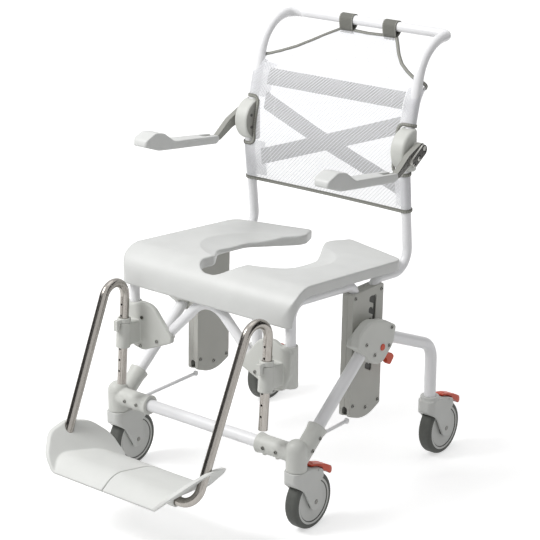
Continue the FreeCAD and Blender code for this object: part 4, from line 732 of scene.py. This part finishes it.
def bindings():
    """Tape along the top edge, the hem and the two cut-outs."""
    across = spread(-HALF_WRAP, HALF_WRAP, TAPE_STEP)
    made = [binding("top_binding", [(a, top_edge(a)) for a in across]),
            binding("hem_binding", [(a, HEM_Z) for a in across])]
    for side, sign in SIDES:
        rim = [(a, CUT_TOP) for a in reversed(spread(CUT_X + CUT_ROUND, HALF_WRAP, RIM_STEP))]
        corner = [(CUT_X + CUT_ROUND * (1 - math.sin(t)), CUT_TOP - CUT_ROUND * (1 - math.cos(t)))
                  for t in spread(0, math.pi / 2, TURN_STEP)[1:-1]]
        upright = spread(CUT_FOOT + CUT_ROUND, CUT_TOP - CUT_ROUND, RIM_STEP_DOWN)
        down = [(CUT_X, z) for z in reversed(upright)]
        upper = rim + corner
        lower = [(a, CUT_FOOT + CUT_TOP - z) for a, z in reversed(upper)]
        trail = [(sign * a, z) for a, z in upper + down + lower]
        made.append(binding("cutout_binding_" + side, trail))
    return made


def strap(name, z_from, z_to, behind):
    """Polyester webbing behind the tubes, sewn to the rear flaps of the cloth."""
    run = spread(-TUBE_X + STRAP_INSET, TUBE_X - STRAP_INSET, STRAP_STEP)
    length = run[-1] - run[0]
    lift = WEBBING_WIDE / 2 * math.hypot(1, (z_to - z_from) / length)
    points, uvs = [], []
    for x in run:
        middle = z_from + (z_to - z_from) * ((x - run[0]) / length)
        row = []
        for line in STRAP_LINES:
            spot, front = on_back(0, middle + lift * line)
            row.append(Vector((x, 0, 0)) + spot + front * (BOW - SKIN - behind))
        points.append(row)
        uvs.append([(x, line * WEBBING_WIDE / 2) for line in STRAP_LINES])
    piece = grid_piece(name, points, uvs)
    apply_modifier(piece, "webbing_thickness", "SOLIDIFY", thickness=STRAP_THICK * MM, offset=0)
    piece.data.materials.append(finish["dark_webbing"])
    return piece


def loop_over_bar(name, x):
    """Webbing sewn to the neck of the cloth: up in front of the push bar, over it and down behind it."""
    bar = Vector((0, BAR_Y, BAR_Z))
    trail = [bar + Vector((0, y, z)) for y, z in LOOP_FRONT]
    for turn in spread(0, math.pi, TURN_STEP):
        trail.append(bar + Vector((0, -math.cos(turn), math.sin(turn))) * (TUBE_R + LOOP_STAND_OFF))
    trail += [bar + Vector((0, y, z)) for y, z in LOOP_REAR]
    edge = WEBBING_WIDE / 2
    lines = (-edge, -edge + LOOP_HEM, 0, edge - LOOP_HEM, edge)
    points, uvs, along = [], [], 0.0
    for i, spot in enumerate(trail):
        along += (spot - trail[max(i - 1, 0)]).length
        points.append([spot + Vector((x + a, 0, 0)) for a in lines])
        uvs.append([(along, a) for a in lines])
    piece = grid_piece(name, points, uvs)
    apply_modifier(piece, "webbing_thickness", "SOLIDIFY", thickness=LOOP_THICK * MM, offset=0)
    bpy.ops.object.mode_set(mode="EDIT")
    bpy.ops.mesh.select_all(action="SELECT")
    bpy.ops.mesh.normals_make_consistent(inside=False)
    bpy.ops.object.mode_set(mode="OBJECT")
    piece.data.materials.append(finish["loop_webbing"])
    return piece


def dress_back():
    """Cloth, tape, straps and loops."""
    cloth = mesh_back()
    tape = bindings()
    webbing = [strap(*row) for row in STRAPS]
    webbing += [loop_over_bar("bar_loop_" + side, sign * LOOP_X) for side, sign in SIDES]
    declare(cloth, "back_mesh")
    for piece in tape:
        declare(piece, "back_mesh", "dark_webbing")
    for piece in webbing:
        declare(piece, "back_straps")


set_camera()
set_stage()
finish_cad_nodes()
mouldings()
wheel_discs()
slot_shade_strips()
arm_clamps()
clamp_screws()
arm_links()
dress_back()
